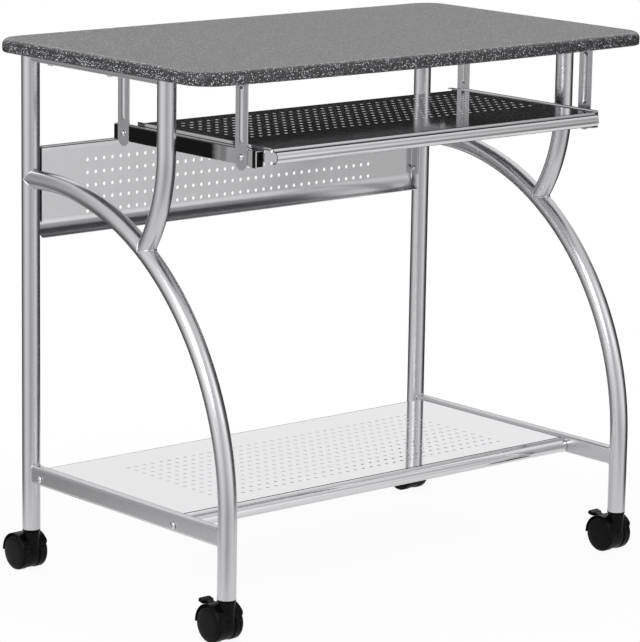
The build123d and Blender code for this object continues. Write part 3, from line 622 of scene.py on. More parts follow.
def rolled_front(lip_y, deck_z, step, curl, sheet):
    """Outer line of a rolled front lip: a small step down from the deck, then a roll to the front."""
    r, small = sheet.lip_radius, sheet.thickness
    roll_z = deck_z - step - r
    crease = arc((lip_y + small, deck_z - small), small, 90, 180, CREASE_STEPS)
    roll = arc((lip_y, roll_z), r, LIP_START, 270 + math.degrees(curl), LIP_STEPS)
    return [(lip_y + sheet.edge_strip, deck_z), *crease, (lip_y, roll_z + r + LIP_RISE), *roll]


def thicken(line, thickness):
    """A closed section from a sheet's outer line, its thickness to the right of the line's way."""
    inner = []
    for i, point in enumerate(line):
        here = Vector(point)
        ways = [Vector(line[j + 1]) - Vector(line[j]) for j in (i - 1, i) if 0 <= j < len(line) - 1]
        sides = [Vector((w.y, -w.x)).normalized() for w in ways if w.length > 0]
        middle = sum(sides, Vector((0, 0))).normalized()
        reach = thickness / max(0.5, middle.dot(sides[0]))
        inner.append(tuple(here + middle * reach))
    return [*line, *reversed(inner)]


def add_cross_bar(bm, section, half):
    """Add a bar with a section in Y and Z, to the same length on both sides of the middle."""
    skin(bm, [[(x, y, z) for y, z in section] for x in (-half, half)])


def add_side_bars(bm, section, front, back):
    """Add a bar on each side of the middle, with a section in X and Z, drawn out along Y."""
    for side in SIDES:
        skin(bm, [[(side * x, y, z) for x, z in section] for y in (front, back)])


def add_side_flanges(bm, half_width, top, drop, front, back, sheet):
    """Add the bent side edges of a sheet."""
    section = thicken(bend_down(half_width, top, drop, sheet), sheet.thickness)
    add_side_bars(bm, section, front, back)


def add_end_disc(bm, middle, radius, thickness, way):
    """Add a round end cap with a soft rim, facing along X."""
    rim = 0.5 * thickness
    rings = [(0.0, radius), (thickness - rim, radius), (thickness, radius - rim), (thickness, 0.5 * radius)]
    skin(bm, [[
        (middle[0] + way * (along - rim), middle[1] + r * math.cos(a), middle[2] + r * math.sin(a))
        for a in full_turn(LIP_END_STEPS)] for along, r in rings])


# Pierced sheets


def pierced_sheet_tree():
    """Geometry tree of a flat sheet with rows of holes whose edges are rolled over a little."""
    t, given = shape_tree("pierced_sheet", (
        "Width", "Depth", "Thickness", "Hole Diameter", "Hole Roll", "Hole Draft",
        "Pitch X", "Pitch Y", "First Row",
    ), ("Columns", "Rows", "Hole Sides"))
    roll, draft, sides = given["Hole Roll"], given["Hole Draft"], given["Hole Sides"]
    radius = t.times(given["Hole Diameter"], 0.5)
    half_t = t.times(given["Thickness"], 0.5)
    minus_t = t.times(given["Thickness"], -1.0)

    def move(geometry, y=0.0, z=0.0):
        return t.out("GeometryNodeTransform", {"Geometry": geometry, "Translation": t.vector(y=y, z=z)})

    def span(line, pitch):
        return t.times(t.minus(given[line], 1.0), given[pitch])

    def flat(geometry):
        return t.out("GeometryNodeSetShadeSmooth", {0: geometry, "Shade Smooth": False})

    depth_y = span("Rows", "Pitch Y")
    grid = t.out("GeometryNodeMeshGrid", {
        "Size X": span("Columns", "Pitch X"),
        "Size Y": depth_y,
        "Vertices X": given["Columns"],
        "Vertices Y": given["Rows"],
    })
    spots = move(grid, t.minus(t.times(given["First Row"], -1.0), t.times(depth_y, 0.5)))
    sizes = {"Width": given["Width"], "Height": given["Depth"]}
    outline = move(t.out("GeometryNodeCurvePrimitiveQuadrilateral", sizes), t.times(given["Depth"], -0.5))
    wide = t.plus(radius, roll)

    def face(hole_radius):
        hole = t.out("GeometryNodeCurvePrimitiveCircle", {"Resolution": sides, "Radius": hole_radius})
        holes = t.out("GeometryNodeInstanceOnPoints", {"Points": spots, "Instance": hole})
        holes = t.out("GeometryNodeRealizeInstances", {0: holes})
        lines = t.out("GeometryNodeJoinGeometry", {0: [outline, holes]})
        return flat(t.out("GeometryNodeFillCurve", {0: lines}))

    upper = face(wide)
    lower = t.out("GeometryNodeFlipFaces", {0: move(face(t.plus(wide, draft)), z=minus_t)})
    rim = t.out("GeometryNodeCurveToMesh", {0: outline})
    down = {"Mesh": rim, "Offset": t.vector(z=minus_t), "Offset Scale": 1.0}
    wall = flat(t.out("GeometryNodeExtrudeMesh", down, mode="EDGES"))

    # Wall of a hole: four rings, the outer two wider by the roll and the lower two by the draft
    tube = t.out("GeometryNodeMeshCylinder", {
        "Vertices": sides,
        "Side Segments": HOLE_STEPS,
        "Radius": radius,
        "Depth": given["Thickness"],
    }, "Mesh", fill_type="NONE")
    place = t.parts(t.out("GeometryNodeInputPosition"))
    at_end = t.math("GREATER_THAN", t.math("ABSOLUTE", place["Z"]), t.times(half_t, HOLE_END))
    below = t.math("LESS_THAN", place["Z"], 0.0)
    wider = t.plus(t.times(at_end, roll), t.times(below, draft))
    flare = t.plus(1.0, t.math("DIVIDE", wider, radius))
    inset = t.times(t.minus(1.0, at_end), roll)
    level = t.times(t.math("SIGN", place["Z"]), t.minus(half_t, inset))
    spot = t.vector(t.times(place["X"], flare), t.times(place["Y"], flare), level)
    tube = t.out("GeometryNodeSetPosition", {"Geometry": tube, "Position": spot})
    tube = move(t.out("GeometryNodeFlipFaces", {0: tube}), z=t.times(half_t, -1.0))
    tubes = t.out("GeometryNodeInstanceOnPoints", {"Points": spots, "Instance": tube})
    whole = t.out("GeometryNodeJoinGeometry", {0: [upper, lower, wall, tubes]})
    return finish_shape(t, whole, given, SAME_HOLE_POINT, smooth=False)


def pierced_deck(sheet, width, depth, rows, first_row, finish_name="silver_sheet", draft=0.0):
    """Mesh of a pierced flat sheet, its back edge at Y = 0 and its upper face at Z = 0."""
    tree = bpy.data.node_groups.get("pierced_sheet") or pierced_sheet_tree()
    return grow(tree, bpy.data.meshes.new("seed"), {
        "Width": width,
        "Depth": depth,
        "Thickness": sheet.thickness,
        "Hole Diameter": sheet.hole_diameter,
        "Hole Roll": sheet.hole_roll,
        "Hole Draft": draft,
        "Pitch X": sheet.pitch_x,
        "Pitch Y": sheet.pitch_y,
        "First Row": first_row,
        "Columns": sheet.columns,
        "Rows": rows,
        "Hole Sides": sheet.hole_sides,
        "Finish": finish(finish_name),
    })


def lipped_deck(low, high, sheet, rows, first_row, draft=0.0):
    """Mesh of the deck between a sheet's rolled front lip and its back, and where it goes."""
    back = high[1] - sheet.edge_strip
    depth = back - low[1] - sheet.lip_radius
    width = 2 * (high[0] - sheet.edge_strip)
    deck = pierced_deck(sheet, width, depth, rows, first_row - sheet.edge_strip, draft=draft)
    return deck, Matrix.Translation((0, back, high[2]))


def lipped_edges(low, high, sheet, front, rear_drop, step, curl, lip_half):
    """Side flanges, rear flange and rolled front lip of a sheet."""
    half, back, top = high
    bars = bmesh.new()
    add_side_flanges(bars, half, top, top - low[2], front, back, sheet)
    rear = bend_down(back, top, rear_drop, sheet)
    add_cross_bar(bars, thicken(rear, sheet.thickness), half - sheet.thickness)
    lip = rolled_front(low[1] + sheet.lip_radius, top, step, curl, sheet)
    add_cross_bar(bars, thicken(lip[::-1], sheet.thickness), lip_half)
    return bars


def sheet_piece(name, deck, deck_place, bars, body, place=Matrix()):
    """A sheet piece from its pierced deck and its bent edges, which stands for the node of its name."""
    edges = soft_mesh(bars, name)
    deck.transform(deck_place)
    both = bmesh.new()
    both.from_mesh(edges)
    both.from_mesh(deck)
    both.to_mesh(edges)
    both.free()
    edges.transform(place)
    one_finish(edges, deck.materials[0])
    bpy.data.meshes.remove(deck)
    new_piece(f"{name}_sheet", edges, body, [name])


# Settings


def number(name, text, default, **limits):
    """A number setting."""
    return FloatProperty(name=name, description=text, default=default, **limits)


def length(name, text, default):
    """A length setting in metres."""
    return number(name, text, default, min=0.0, unit="LENGTH", precision=5)


def angle(name, text, degrees):
    """An angle setting."""
    return number(name, text, math.radians(degrees), subtype="ANGLE")


def share(name, text, default, low=0.0, high=1.0):
    """A setting that is a share of something."""
    return number(name, text, default, min=low, max=high, subtype="FACTOR")


def count(name, text, default, least=1):
    """A setting that is a whole number."""
    return IntProperty(name=name, description=text, default=default, min=least)


def colour(name, text, default):
    """A colour setting."""
    return FloatVectorProperty(name=name, description=text, default=default, subtype="COLOR", min=0, max=1)


class DESK_PG_sheet(bpy.types.PropertyGroup):
    """Sizes of the pierced sheets."""

    thickness: length("Thickness", "Thickness of the sheet", 1.2 * MM)
    bend_radius: length("Bend radius", "Outer radius of a bent edge", 2.0 * MM)
    edge_strip: length("Edge strip", "Flat strip beside a bend", 4.0 * MM)
    hole_diameter: length("Hole diameter", "Diameter of a hole", 5.4 * MM)
    hole_roll: length("Hole roll", "How far a hole's edge is rolled over", 0.15 * MM)
    tray_hole_draft: length("Tray hole draft", "How much wider the tray's holes are below", 0.5 * MM)
    pitch_x: length("Pitch across", "Distance between columns of holes", 14.3 * MM)
    pitch_y: length("Pitch along", "Distance between rows of holes", 18.0 * MM)
    lip_radius: length("Lip radius", "Outer radius of a rolled lip", 8.5 * MM)
    tray_step: length("Tray step", "Step from the tray's deck to its lip", 2.5 * MM)
    tray_lip_short: length("Tray lip end", "How far the tray's lip ends inside its sides", 6.5 * MM)
    tray_bead: length("Tray bead", "Height of the bead along the tray's sides", 2.2 * MM)
    tray_first_row: length("Tray first row", "From the tray's back to its first row", 33.0 * MM)
    shelf_step: length("Shelf step", "Step from the shelf's deck to its lip", 3.5 * MM)
    shelf_first_row: length("Shelf first row", "From the shelf's back to its first row", 66.5 * MM)
    panel_bend: length("Panel bend", "Radius of the panel's wide lower bend", 25.0 * MM)
    panel_hem: length("Panel hem", "Height of the panel's upper hem", 8.0 * MM)
    columns: count("Columns", "Columns of holes", 37)
    tray_rows: count("Tray rows", "Rows of holes in the tray", 9)
    shelf_rows: count("Shelf rows", "Rows of holes in the shelf", 12)
    panel_rows: count("Panel rows", "Rows of holes in the panel", 5)
    hole_sides: count("Hole sides", "Sides of a hole", 16, least=6)
    tray_curl: angle("Tray curl", "Turn of the tray's lip past its lowest point", 10)
    shelf_curl: angle("Shelf curl", "Turn of the shelf's lip past its lowest point", 60)


class DESK_PG_fixings(bpy.types.PropertyGroup):
    """Sizes of the screws, the slides' rims and the weld beads."""

    head_height: length("Head height", "Height of a screw head", 2.5 * MM)
    recess_length: share("Recess length", "Length of the cross recess as a share of the head", 0.58, 0.1, 0.9)
    recess_width: share("Recess width", "Width of the cross recess as a share of the head", 0.15, 0.05, 0.4)
    rim_width: length("Rim width", "Width of the rims round a slide's front end", 1.1 * MM)
    rim_proud: length("Rim height", "How far the rims round a slide's front end stand out", 0.3 * MM)
    bead_radius: length("Bead radius", "Radius of a weld bead", 1.5 * MM)
    arch_radius: length("Arch radius", "Radius of the arched leg's bend", 384.0 * MM)
    strut_radius: length("Strut radius", "Radius of the strut's bend", 230.0 * MM)


class DESK_PG_hanger(bpy.types.PropertyGroup):
    """Sizes of the tray hangers."""

    thickness: length("Thickness", "Thickness of the strip", 1.5 * MM)
    rib_radius: length("Rib radius", "Radius of the pressed rib", 5.0 * MM)
    rib_proud: length("Rib height", "How far the rib stands out", 1.8 * MM)
    rib_from_tip: length("Rib from tip", "From the tip to the rib's lower end", 40.0 * MM)
    rib_from_top: length("Rib from top", "From the foot to the rib's upper end", 12.0 * MM)


class DESK_PG_caster(bpy.types.PropertyGroup):
    """Sizes of the caster hoods and wheel caps, with angles from the rear over the top."""

    well_gap: length("Well gap", "Room between wheel and hood", 0.62 * MM)
    hood_thickness: length("Hood thickness", "Thickness of the hood's shell", 1.56 * MM)
    apron_inset: length("Apron inset", "How much narrower the hood's front end gets on each side", 4.0 * MM)
    cap_inset: length("Cap inset", "From the wheel's tread to the rim of its cap", 5.0 * MM)
    cap_dome: length("Cap dome", "How far the cap's middle stands out", 1.5 * MM)
    cap_rim: length("Cap rim", "Height of the cap's rim", 0.3 * MM)
    web_gap: length("Web gap", "Room between wheel and web, and above the floor", 0.8 * MM)
    web_end: angle("Web end", "Where the web between the wheels stops", 262)
    apron_start: angle("Apron start", "Where the hood's front end starts", 141.5)
    apron_end: angle("Apron end", "Where the hood's front end stops", 157.5)


class DESK_PG_look(bpy.types.PropertyGroup):
    """Colours of the finishes."""

    board: colour("Board", "Ground colour of the board", (0.008, 0.008, 0.010))
    board_specks: colour("Board specks", "Colour of the specks in the board", (0.66, 0.67, 0.70))
    board_backing: share("Board backing", "How pale the board's underside is, from ground to specks", 0.14)
    tube: colour("Tubes", "Silver paint of the frame tubes", (0.60, 0.60, 0.615))
    sheet: colour("Sheets", "Silver of the pierced sheets", (0.755, 0.755, 0.77))
    black: colour("Black", "Black enamel and plastic", (0.002, 0.002, 0.0022))
    zinc: colour("Zinc", "Plating on screws and pins", (0.74, 0.74, 0.75))
    cage: colour("Cages", "Nylon of the ball cages", (0.62, 0.62, 0.60))


class DESK_PG_stage(bpy.types.PropertyGroup):
    """Camera, floor and lights of the studio."""

    floor: colour("Floor", "Colour of the floor", (0.92, 0.92, 0.92))
    floor_radius: length("Floor radius", "Radius of the floor", 0.85)
    soft_light: number("Soft light", "Level of the ceiling", 0.85, min=0)
    far_floor: number("Far floor", "Level of the floor far away", 0.85, min=0)
    key_light: number("Key light", "Power of the key lamp", 28.0, unit="POWER")
    fill_light: number("Fill light", "Power of the fill lamp", 4.0, unit="POWER")
    eye: FloatVectorProperty(
        name="Camera place", description="Where the camera stands", default=(-2.9501, -3.40375, 1.2858),
        subtype="TRANSLATION", unit="LENGTH")
    yaw: angle("Yaw", "Turn of the camera to the right", 40.828)
    pitch: angle("Pitch", "Tilt of the camera down", 11.849)
    roll: angle("Roll", "Lean of the camera", 0.935)
    lens: number("Lens", "Focal length for a 36 mm wide picture", 186.43, unit="CAMERA")


class DESK_PG_desk(bpy.types.PropertyGroup):
    """All settings of the desk."""

    sheet: PointerProperty(type=DESK_PG_sheet)
    fixings: PointerProperty(type=DESK_PG_fixings)
    hanger: PointerProperty(type=DESK_PG_hanger)
    caster: PointerProperty(type=DESK_PG_caster)
    look: PointerProperty(type=DESK_PG_look)
    stage: PointerProperty(type=DESK_PG_stage)


# Pieces


class DESK_OT_board(bpy.types.Operator):
    """Finish the board in speckled laminate"""

    bl_idname = "desk.board"
    bl_label = "Board"

    def execute(self, context):
        paint(["desktop"], "board")
        return {"FINISHED"}


class DESK_OT_side_frames(bpy.types.Operator):
    """Finish the tubes and rails in silver paint"""

    bl_idname = "desk.side_frames"
    bl_label = "Side frames"

    def execute(self, context):
        tubes = nodes_with("post", "arch", "strut", "rail")
        paint([n for n in tubes if not n.endswith("screws")], "silver_tube")
        return {"FINISHED"}


def rib_height(y, z, low, high, hanger):
    """How far the pressed rib stands out at a place on a hanger's strip."""
    away = math.hypot(y, max(0.0, low - z, z - high))
    bow = math.sqrt(max(0.0, hanger.rib_radius**2 - away**2))
    return max(0.0, bow - hanger.rib_radius + hanger.rib_proud)


def add_hanger(bm, low, high, side, hanger):
    """Add a hanger: a foot, a bend and a strip with a pressed rib and a round end."""
    t, half = hanger.thickness, (high.y - low.y) / 2
    face, top, middle = high.x - hanger.rib_proud, high.z, (low.y + high.y) / 2
    round_z, strip_top = low.z + half, top - t
    ends = low.z + hanger.rib_from_tip, top - hanger.rib_from_top
    rows = [((low.x, top), (low.x, strip_top), half)]
    rows += [(spot, (face - t, strip_top), half) for spot in arc((face - t, strip_top), t, 90, 0, BEND_STEPS)]
    strip = [(strip_top + (round_z - strip_top) * i / STRIP_ROWS, half) for i in range(1, STRIP_ROWS + 1)]
    for turn in map(math.radians, TIP_TURNS):
        strip.append((round_z - half * math.sin(turn), half * math.cos(turn)))
    rows += [((face, z), (face - t, z), width) for z, width in strip]
    outer, inner = [], []
    for *spots, width in rows:
        for grid, (x, z) in zip((outer, inner), spots):
            line = []
            for share_across in RIB_COLUMNS:
                y = share_across * width
                rib = rib_height(y, z, *ends, hanger) if z < strip_top else 0.0
                line.append(bm.verts.new((side * (x + rib), middle + y, z)))
            grid.append(line)
    for i in range(len(rows) - 1):
        for grid in (outer, inner):
            for j in range(len(RIB_COLUMNS) - 1):
                bm.faces.new((grid[i][j], grid[i][j + 1], grid[i + 1][j + 1], grid[i + 1][j]))
        for j in (0, -1):
            bm.faces.new((outer[i][j], outer[i + 1][j], inner[i + 1][j], inner[i][j]))
    for i in (0, -1):
        for j in range(len(RIB_COLUMNS) - 1):
            bm.faces.new((outer[i][j], outer[i][j + 1], inner[i][j + 1], inner[i][j]))


class DESK_OT_tray_hangers(bpy.types.Operator):
    """Make the tray hangers, bent strips with a rib pressed from the inside"""

    bl_idname = "desk.tray_hangers"
    bl_label = "Tray hangers"

    def execute(self, context):
        nodes = nodes_with("tray_hanger")
        bm = bmesh.new()
        for node in nodes:
            low, high = corners(node)
            side = 1 if low.x > 0 else -1
            if side < 0:
                low.x, high.x = -high.x, -low.x
            add_hanger(bm, low, high, side, context.scene.desk.hanger)
        mesh = solid_mesh(bm, "tray_hangers", "silver_tube")
        new_piece("tray_hangers", mesh, "frame", nodes)
        return {"FINISHED"}


def add_ring(bm, middle, half, width, front, back, corner):
    """Add a closed ring that goes round a box in X and Z, from front to back along Y."""
    outer = rounded_box(half.x, half.z, corner)
    inner = rounded_box(half.x - width, half.z - width, corner - 0.5 * width)
    lines = ((outer, front), (outer, back), (inner, back), (inner, front))
    skin(bm, [[(middle.x + x, y, middle.z + z) for x, z in line] for line, y in lines], closed=True)


def slide_end_rims(fixings):
    """Mesh of the bright rims round the bumpers: one at the front edge and one at the back."""
    bm = bmesh.new()
    for low, high in islands("slide_bumpers"):
        middle, half = (low + high) / 2, (high - low) / 2
        proud, wide = fixings.rim_proud, fixings.rim_width
        shift = Vector((math.copysign(proud / 2, middle.x), 0, 0))
        grown = half + Vector((proud / 2, 0, proud))
        add_ring(bm, middle, half, wide, low.y - proud, low.y + wide, wide)
        add_ring(bm, middle + shift, grown, 2 * proud, high.y - wide, high.y - RIM_GAP, wide)
    return solid_mesh(bm, "slide_end_rims", "zinc")


class DESK_OT_slides(bpy.types.Operator):
    """Finish the slides, their cages, balls and bumpers, and put bright rims round the bumpers"""

    bl_idname = "desk.slides"
    bl_label = "Ball slides"

    def execute(self, context):
        paint(nodes_with("slide_outer"), "black_steel")
        paint(nodes_with("slide_inner", "slide_balls", "shelf_nuts"), "zinc")
        paint(nodes_with("slide_cage"), "cage_plastic")
        paint(["slide_bumpers"], "black_plastic")
        new_piece("slide_end_rims", slide_end_rims(context.scene.desk.fixings), "tray")
        return {"FINISHED"}


def add_sweep(bm, sections, middle, start, end):
    """Add a body through (radius, X) sections, set round a caster's axle from the rear over the top."""
    loops = []
    for i, section in enumerate(sections):
        a = start + (end - start) * i / (len(sections) - 1)
        y, z = math.cos(a), math.sin(a)
        loops.append([(x, middle.y + r * y, middle.z + r * z) for r, x in section])
    skin(bm, loops)


def soft_band(inner, outer, left, right, edge):
    """Section of a band round the axle with its outer corners cut off."""
    return [
        (inner, left), (outer - edge, left), (outer, left + edge),
        (outer, right - edge), (outer - edge, right), (inner, right),
    ]


def hood_front(corner, caster):
    """Mesh of the front of a caster's hood: its apron over the wheels and its web between them."""
    left_low, left_high = corners(f"{corner}_caster_wheel_left")
    right_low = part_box(f"{corner}_caster_wheel_right")[0]
    middle = (left_low + left_high) / 2
    wheel_r = middle.z - left_low.z
    left, right = (c[0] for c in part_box(f"{corner}_caster_hood"))
    inner = wheel_r + caster.well_gap
    bm = bmesh.new()
    apron = []
    for i in range(APRON_STEPS + 1):
        gone = (i / APRON_STEPS) ** 2
        shell, inset = caster.hood_thickness * (1 - APRON_THINNING * gone), caster.apron_inset * gone
        apron.append(soft_band(inner, inner + shell, left + inset, right - inset, APRON_EDGE * shell))
    add_sweep(bm, apron, middle, caster.apron_start, caster.apron_end)
    gap = caster.web_gap
    web = soft_band(WEB_INNER * wheel_r, wheel_r - gap, left_high.x + gap, right_low[0] - gap, gap)
    add_sweep(bm, [web] * (WEB_STEPS + 1), middle, caster.apron_start, caster.web_end)
    return solid_mesh(bm, f"{corner}_hood_front", "black_plastic")


def wheel_cap(wheel, caster, way):
    """Mesh of the domed cap on a wheel's outer face."""
    low, high = corners(wheel)
    middle = (low + high) / 2
    face = high.x if way > 0 else low.x
    radius = middle.z - low.z - caster.cap_inset
    rise = caster.cap_dome - caster.cap_rim
    profile = [(radius, -caster.cap_rim), (radius, caster.cap_rim)]
    for a in (math.pi / 2 * i / CAP_RINGS for i in range(1, CAP_RINGS)):
        profile.append((radius * math.cos(a), caster.cap_rim + rise * math.sin(a)))
    bm = bmesh.new()
    skin(bm, [[
        (face + way * out, middle.y + r * math.cos(a), middle.z + r * math.sin(a))
        for a in full_turn(CAP_STEPS)] for r, out in profile])
    return solid_mesh(bm, f"{wheel}_cap", "black_plastic")


class DESK_OT_casters(bpy.types.Operator):
    """Finish the casters and their brake levers, cap their wheels and carry their hoods on round the front"""

    bl_idname = "desk.casters"
    bl_label = "Casters"

    def execute(self, context):
        paint(nodes_with("hood", "lever", "socket"), "black_plastic")
        paint(nodes_with("caster_wheel"), "wheels")
        paint(nodes_with("stem", "axle"), "zinc")
        for hood in nodes_with("caster_hood"):
            corner = hood.removesuffix("_caster_hood")
            front = hood_front(corner, context.scene.desk.caster)
            new_piece(front.name, front, f"{corner}_caster")
            for side, way in (("left", -1), ("right", 1)):
                cap = wheel_cap(f"{corner}_caster_wheel_{side}", context.scene.desk.caster, way)
                new_piece(cap.name, cap, f"{corner}_wheel_{side}")
        return {"FINISHED"}


class DESK_OT_keyboard_tray(bpy.types.Operator):
    """Make the pierced keyboard tray with its side flanges and half-round lip"""

    bl_idname = "desk.keyboard_tray"
    bl_label = "Keyboard tray"

    def execute(self, context):
        sheet = context.scene.desk.sheet
        half, back, top = TRAY_HIGH
        lip_y = TRAY_LOW[1] + sheet.lip_radius
        inner, under = half - sheet.edge_strip, top - sheet.thickness
        deck = lipped_deck(
            TRAY_LOW, TRAY_HIGH, sheet, sheet.tray_rows, sheet.tray_first_row, sheet.tray_hole_draft)
        bars = lipped_edges(
            TRAY_LOW, TRAY_HIGH, sheet, BUMPER_FRONT_Y, sheet.lip_radius, sheet.tray_step, sheet.tray_curl,
            half - sheet.tray_lip_short)
        strip = [(inner, top), (half, top), (half, under), (inner, under)]
        add_side_bars(bars, strip, lip_y, BUMPER_FRONT_Y)
        wide = TRAY_BEAD_WIDTH * sheet.tray_bead
        crest = arc((half - wide / 2, top + sheet.tray_bead - wide / 2), wide / 2, 0, 180, TRAY_BEAD_STEPS)
        add_side_bars(bars, [(half, under), *crest, (half - wide, under)], lip_y, back)
        sheet_piece("keyboard_tray", *deck, bars, "tray")
        return {"FINISHED"}


class DESK_OT_lower_shelf(bpy.types.Operator):
    """Make the pierced lower shelf with its flanges, rolled lip and lip ends"""

    bl_idname = "desk.lower_shelf"
    bl_label = "Lower shelf"

    def execute(self, context):
        sheet = context.scene.desk.sheet
        half, _, top = SHELF_HIGH
        lip_y = SHELF_LOW[1] + sheet.lip_radius
        deck = lipped_deck(SHELF_LOW, SHELF_HIGH, sheet, sheet.shelf_rows, sheet.shelf_first_row)
        bars = lipped_edges(
            SHELF_LOW, SHELF_HIGH, sheet, lip_y, top - SHELF_LOW[2], sheet.shelf_step, sheet.shelf_curl,
            half - sheet.thickness)
        lip_z = top - sheet.shelf_step - sheet.lip_radius
        for side in SIDES:
            middle = (side * (half - sheet.thickness / 2), lip_y, lip_z)
            add_end_disc(bars, middle, sheet.lip_radius, sheet.thickness, side)
        sheet_piece("lower_shelf", *deck, bars, "frame")
        return {"FINISHED"}


class DESK_OT_rear_panel(bpy.types.Operator):
    """Make the pierced rear panel, a shallow pan with a hemmed upper edge and a wide lower bend"""

    bl_idname = "desk.rear_panel"
    bl_label = "Rear panel"

    def execute(self, context):
        sheet = context.scene.desk.sheet
        half, low, high = PANEL_HIGH[0], PANEL_LOW[2], PANEL_HIGH[2]
        drop = PANEL_HIGH[1] - PANEL_LOW[1]
        r, wide = sheet.bend_radius, sheet.panel_bend
        bend = math.acos(1 - drop / wide)
        foot_z = low + wide * math.sin(bend)
        deck_top = high - sheet.edge_strip
        first = (high - low - (sheet.panel_rows - 1) * sheet.pitch_y) / 2 - sheet.edge_strip
        width = 2 * (half - sheet.edge_strip)
        deck = pierced_deck(sheet, width, deck_top - foot_z, sheet.panel_rows, first, "panel_sheet")

        # Drawn lying on its back, with its front face up
        bars = bmesh.new()
        add_side_flanges(bars, half, 0.0, drop, foot_z, high - r, sheet)
        hem = [*bend_down(high, 0.0, drop - r, sheet), *arc((high - r, r - drop), r, 0, -90, BEND_STEPS)]
        hem.append((high - sheet.panel_hem, -drop))
        foot = arc((foot_z, -wide), wide, 90, 90 + math.degrees(bend), FOOT_STEPS)
        for line in (hem, foot[::-1]):
            add_cross_bar(bars, thicken(line, sheet.thickness), half - sheet.thickness)
        stand = Matrix(((-1, 0, 0, 0), (0, 0, 1, PANEL_HIGH[1]), (0, 1, 0, 0), (0, 0, 0, 1)))
        sheet_piece("rear_panel", deck, Matrix.Translation((0, deck_top, 0)), bars, "frame", stand)
        return {"FINISHED"}


def screw_points(kinds):
    """A mesh of points where screw heads sit, with the way each looks, its head's width and its length."""
    spots, ways, widths, lengths = [], [], [], []
    for node, axis, outward in kinds:
        i = "XYZ".index(axis)
        for low, high in islands(node):
            head = (low + high) / 2
            sign = outward * (1 if axis == "Z" or head.x > 0 else -1)
            way = Vector((0, 0, 0))
            way[i] = sign
            head[i] = high[i] if sign > 0 else low[i]
            spots.append(head)
            ways.append(way)
            widths.append(high[(i + 1) % 3] - low[(i + 1) % 3])
            lengths.append(high[i] - low[i])
    mesh = bpy.data.meshes.new("screw_points")
    mesh.from_pydata(spots, [], [])
    for name, values in (("width", widths), ("reach", lengths)):
        mesh.attributes.new(name, "FLOAT", "POINT").data.foreach_set("value", values)
    flat_ways = [part for way in ways for part in way]
    mesh.attributes.new("way", "FLOAT_VECTOR", "POINT").data.foreach_set("vector", flat_ways)
    return mesh


def screw_tree():
    """Geometry tree of pan-head screws with a cross recess, one at each point."""
    t, given = shape_tree(
        "pan_head_screws", ("Head Height", "Recess Length", "Recess Width"), takes_points=True)
    height, long, thin = given["Head Height"], given["Recess Length"], given["Recess Width"]

    def kept(name, kind):
        return t.out("GeometryNodeInputNamedAttribute", {"Name": name}, "Attribute", data_type=kind)

    width, reach, way = kept("width", "FLOAT"), kept("reach", "FLOAT"), kept("way", "FLOAT_VECTOR")
    turn = t.out("FunctionNodeAlignRotationToVector", {"Vector": way}, axis="Z")

    def at(points, instance, size):
        inputs = {"Points": points, "Instance": instance, "Rotation": turn, "Scale": size}
        return t.out("GeometryNodeInstanceOnPoints", inputs)

    def drum(sides, rings):
        inputs = {"Vertices": sides, "Side Segments": rings, "Radius": 0.5, "Depth": 1.0}
        return t.out("GeometryNodeMeshCylinder", inputs, "Mesh")

    # Head of width 1 and height 1, its top at Z = 0, rounded ring by ring
    place = t.parts(t.out("GeometryNodeInputPosition"))
    level = t.times(t.plus(place["Z"], 0.5), HEAD_LEVEL)
    bow = t.math("POWER", t.minus(1.0, t.math("POWER", level, HEAD_POWER)), HEAD_ROOT)
    spot = t.vector(t.times(place["X"], bow), t.times(place["Y"], bow), t.minus(place["Z"], 0.5))
    head = t.out("GeometryNodeSetPosition", {"Geometry": drum(HEAD_SIDES, HEAD_RINGS), "Position": spot})
    slots = []
    for x, y, z in ((long, thin, SLOT_DEPTHS[0]), (thin, long, SLOT_DEPTHS[1])):
        slots.append(t.out("GeometryNodeMeshCube", {"Size": t.vector(x, y, z)}, "Mesh"))
    head = t.out("GeometryNodeMeshBoolean", {"Mesh 1": head, "Mesh 2": slots}, operation="DIFFERENCE")
    heads = at(given["Geometry"], head, t.vector(width, width, height))

    # Shank of width 1 and length 1 that hangs below the head
    shank = {"Geometry": drum(SHANK_SIDES, 1), "Translation": (0, 0, -0.5)}
    seat = t.times(height, SHANK_SEAT)
    down = t.out("ShaderNodeVectorMath", {0: way, "Scale": t.times(seat, -1.0)}, operation="SCALE")
    seats = t.out("GeometryNodeSetPosition", {"Geometry": given["Geometry"], "Offset": down})
    thick = t.times(width, SHANK_WIDTH)
    shanks = at(seats, t.out("GeometryNodeTransform", shank), t.vector(thick, thick, t.minus(reach, seat)))
    whole = t.out("GeometryNodeJoinGeometry", {0: [heads, shanks]})
    return finish_shape(t, whole, given, SAME_SHAPE_POINT, smooth=True)


class DESK_OT_screws(bpy.types.Operator):
    """Make the cross-recess screws of the frame and of the tray"""

    bl_idname = "desk.screws"
    bl_label = "Screws"

    def execute(self, context):
        fixings = context.scene.desk.fixings
        tree = screw_tree()
        sets = (("frame_screws", "frame", FRAME_SCREWS), ("tray_side_screws", "tray", TRAY_SCREWS))
        for name, body, kinds in sets:
            mesh = grow(tree, screw_points(kinds), {
                "Head Height": fixings.head_height,
                "Recess Length": fixings.recess_length,
                "Recess Width": fixings.recess_width,
                "Finish": finish("zinc"),
            })
            mesh.set_sharp_from_angle(angle=SHARP_SCREW_EDGE)
            new_piece(name, mesh, body, [kind[0] for kind in kinds])
        return {"FINISHED"}


def rail_weld(box, upright_y, way, corner):
    """Line where a flat-sided rail meets an upright round tube."""
    low, high = box
    z = (low[2] + high[2]) / 2
    outline = rounded_box((high[0] - low[0]) / 2, (high[2] - low[2]) / 2, corner)
    return [(x, upright_y + way * math.sqrt(TUBE_R**2 - x * x), z + h) for x, h in outline]


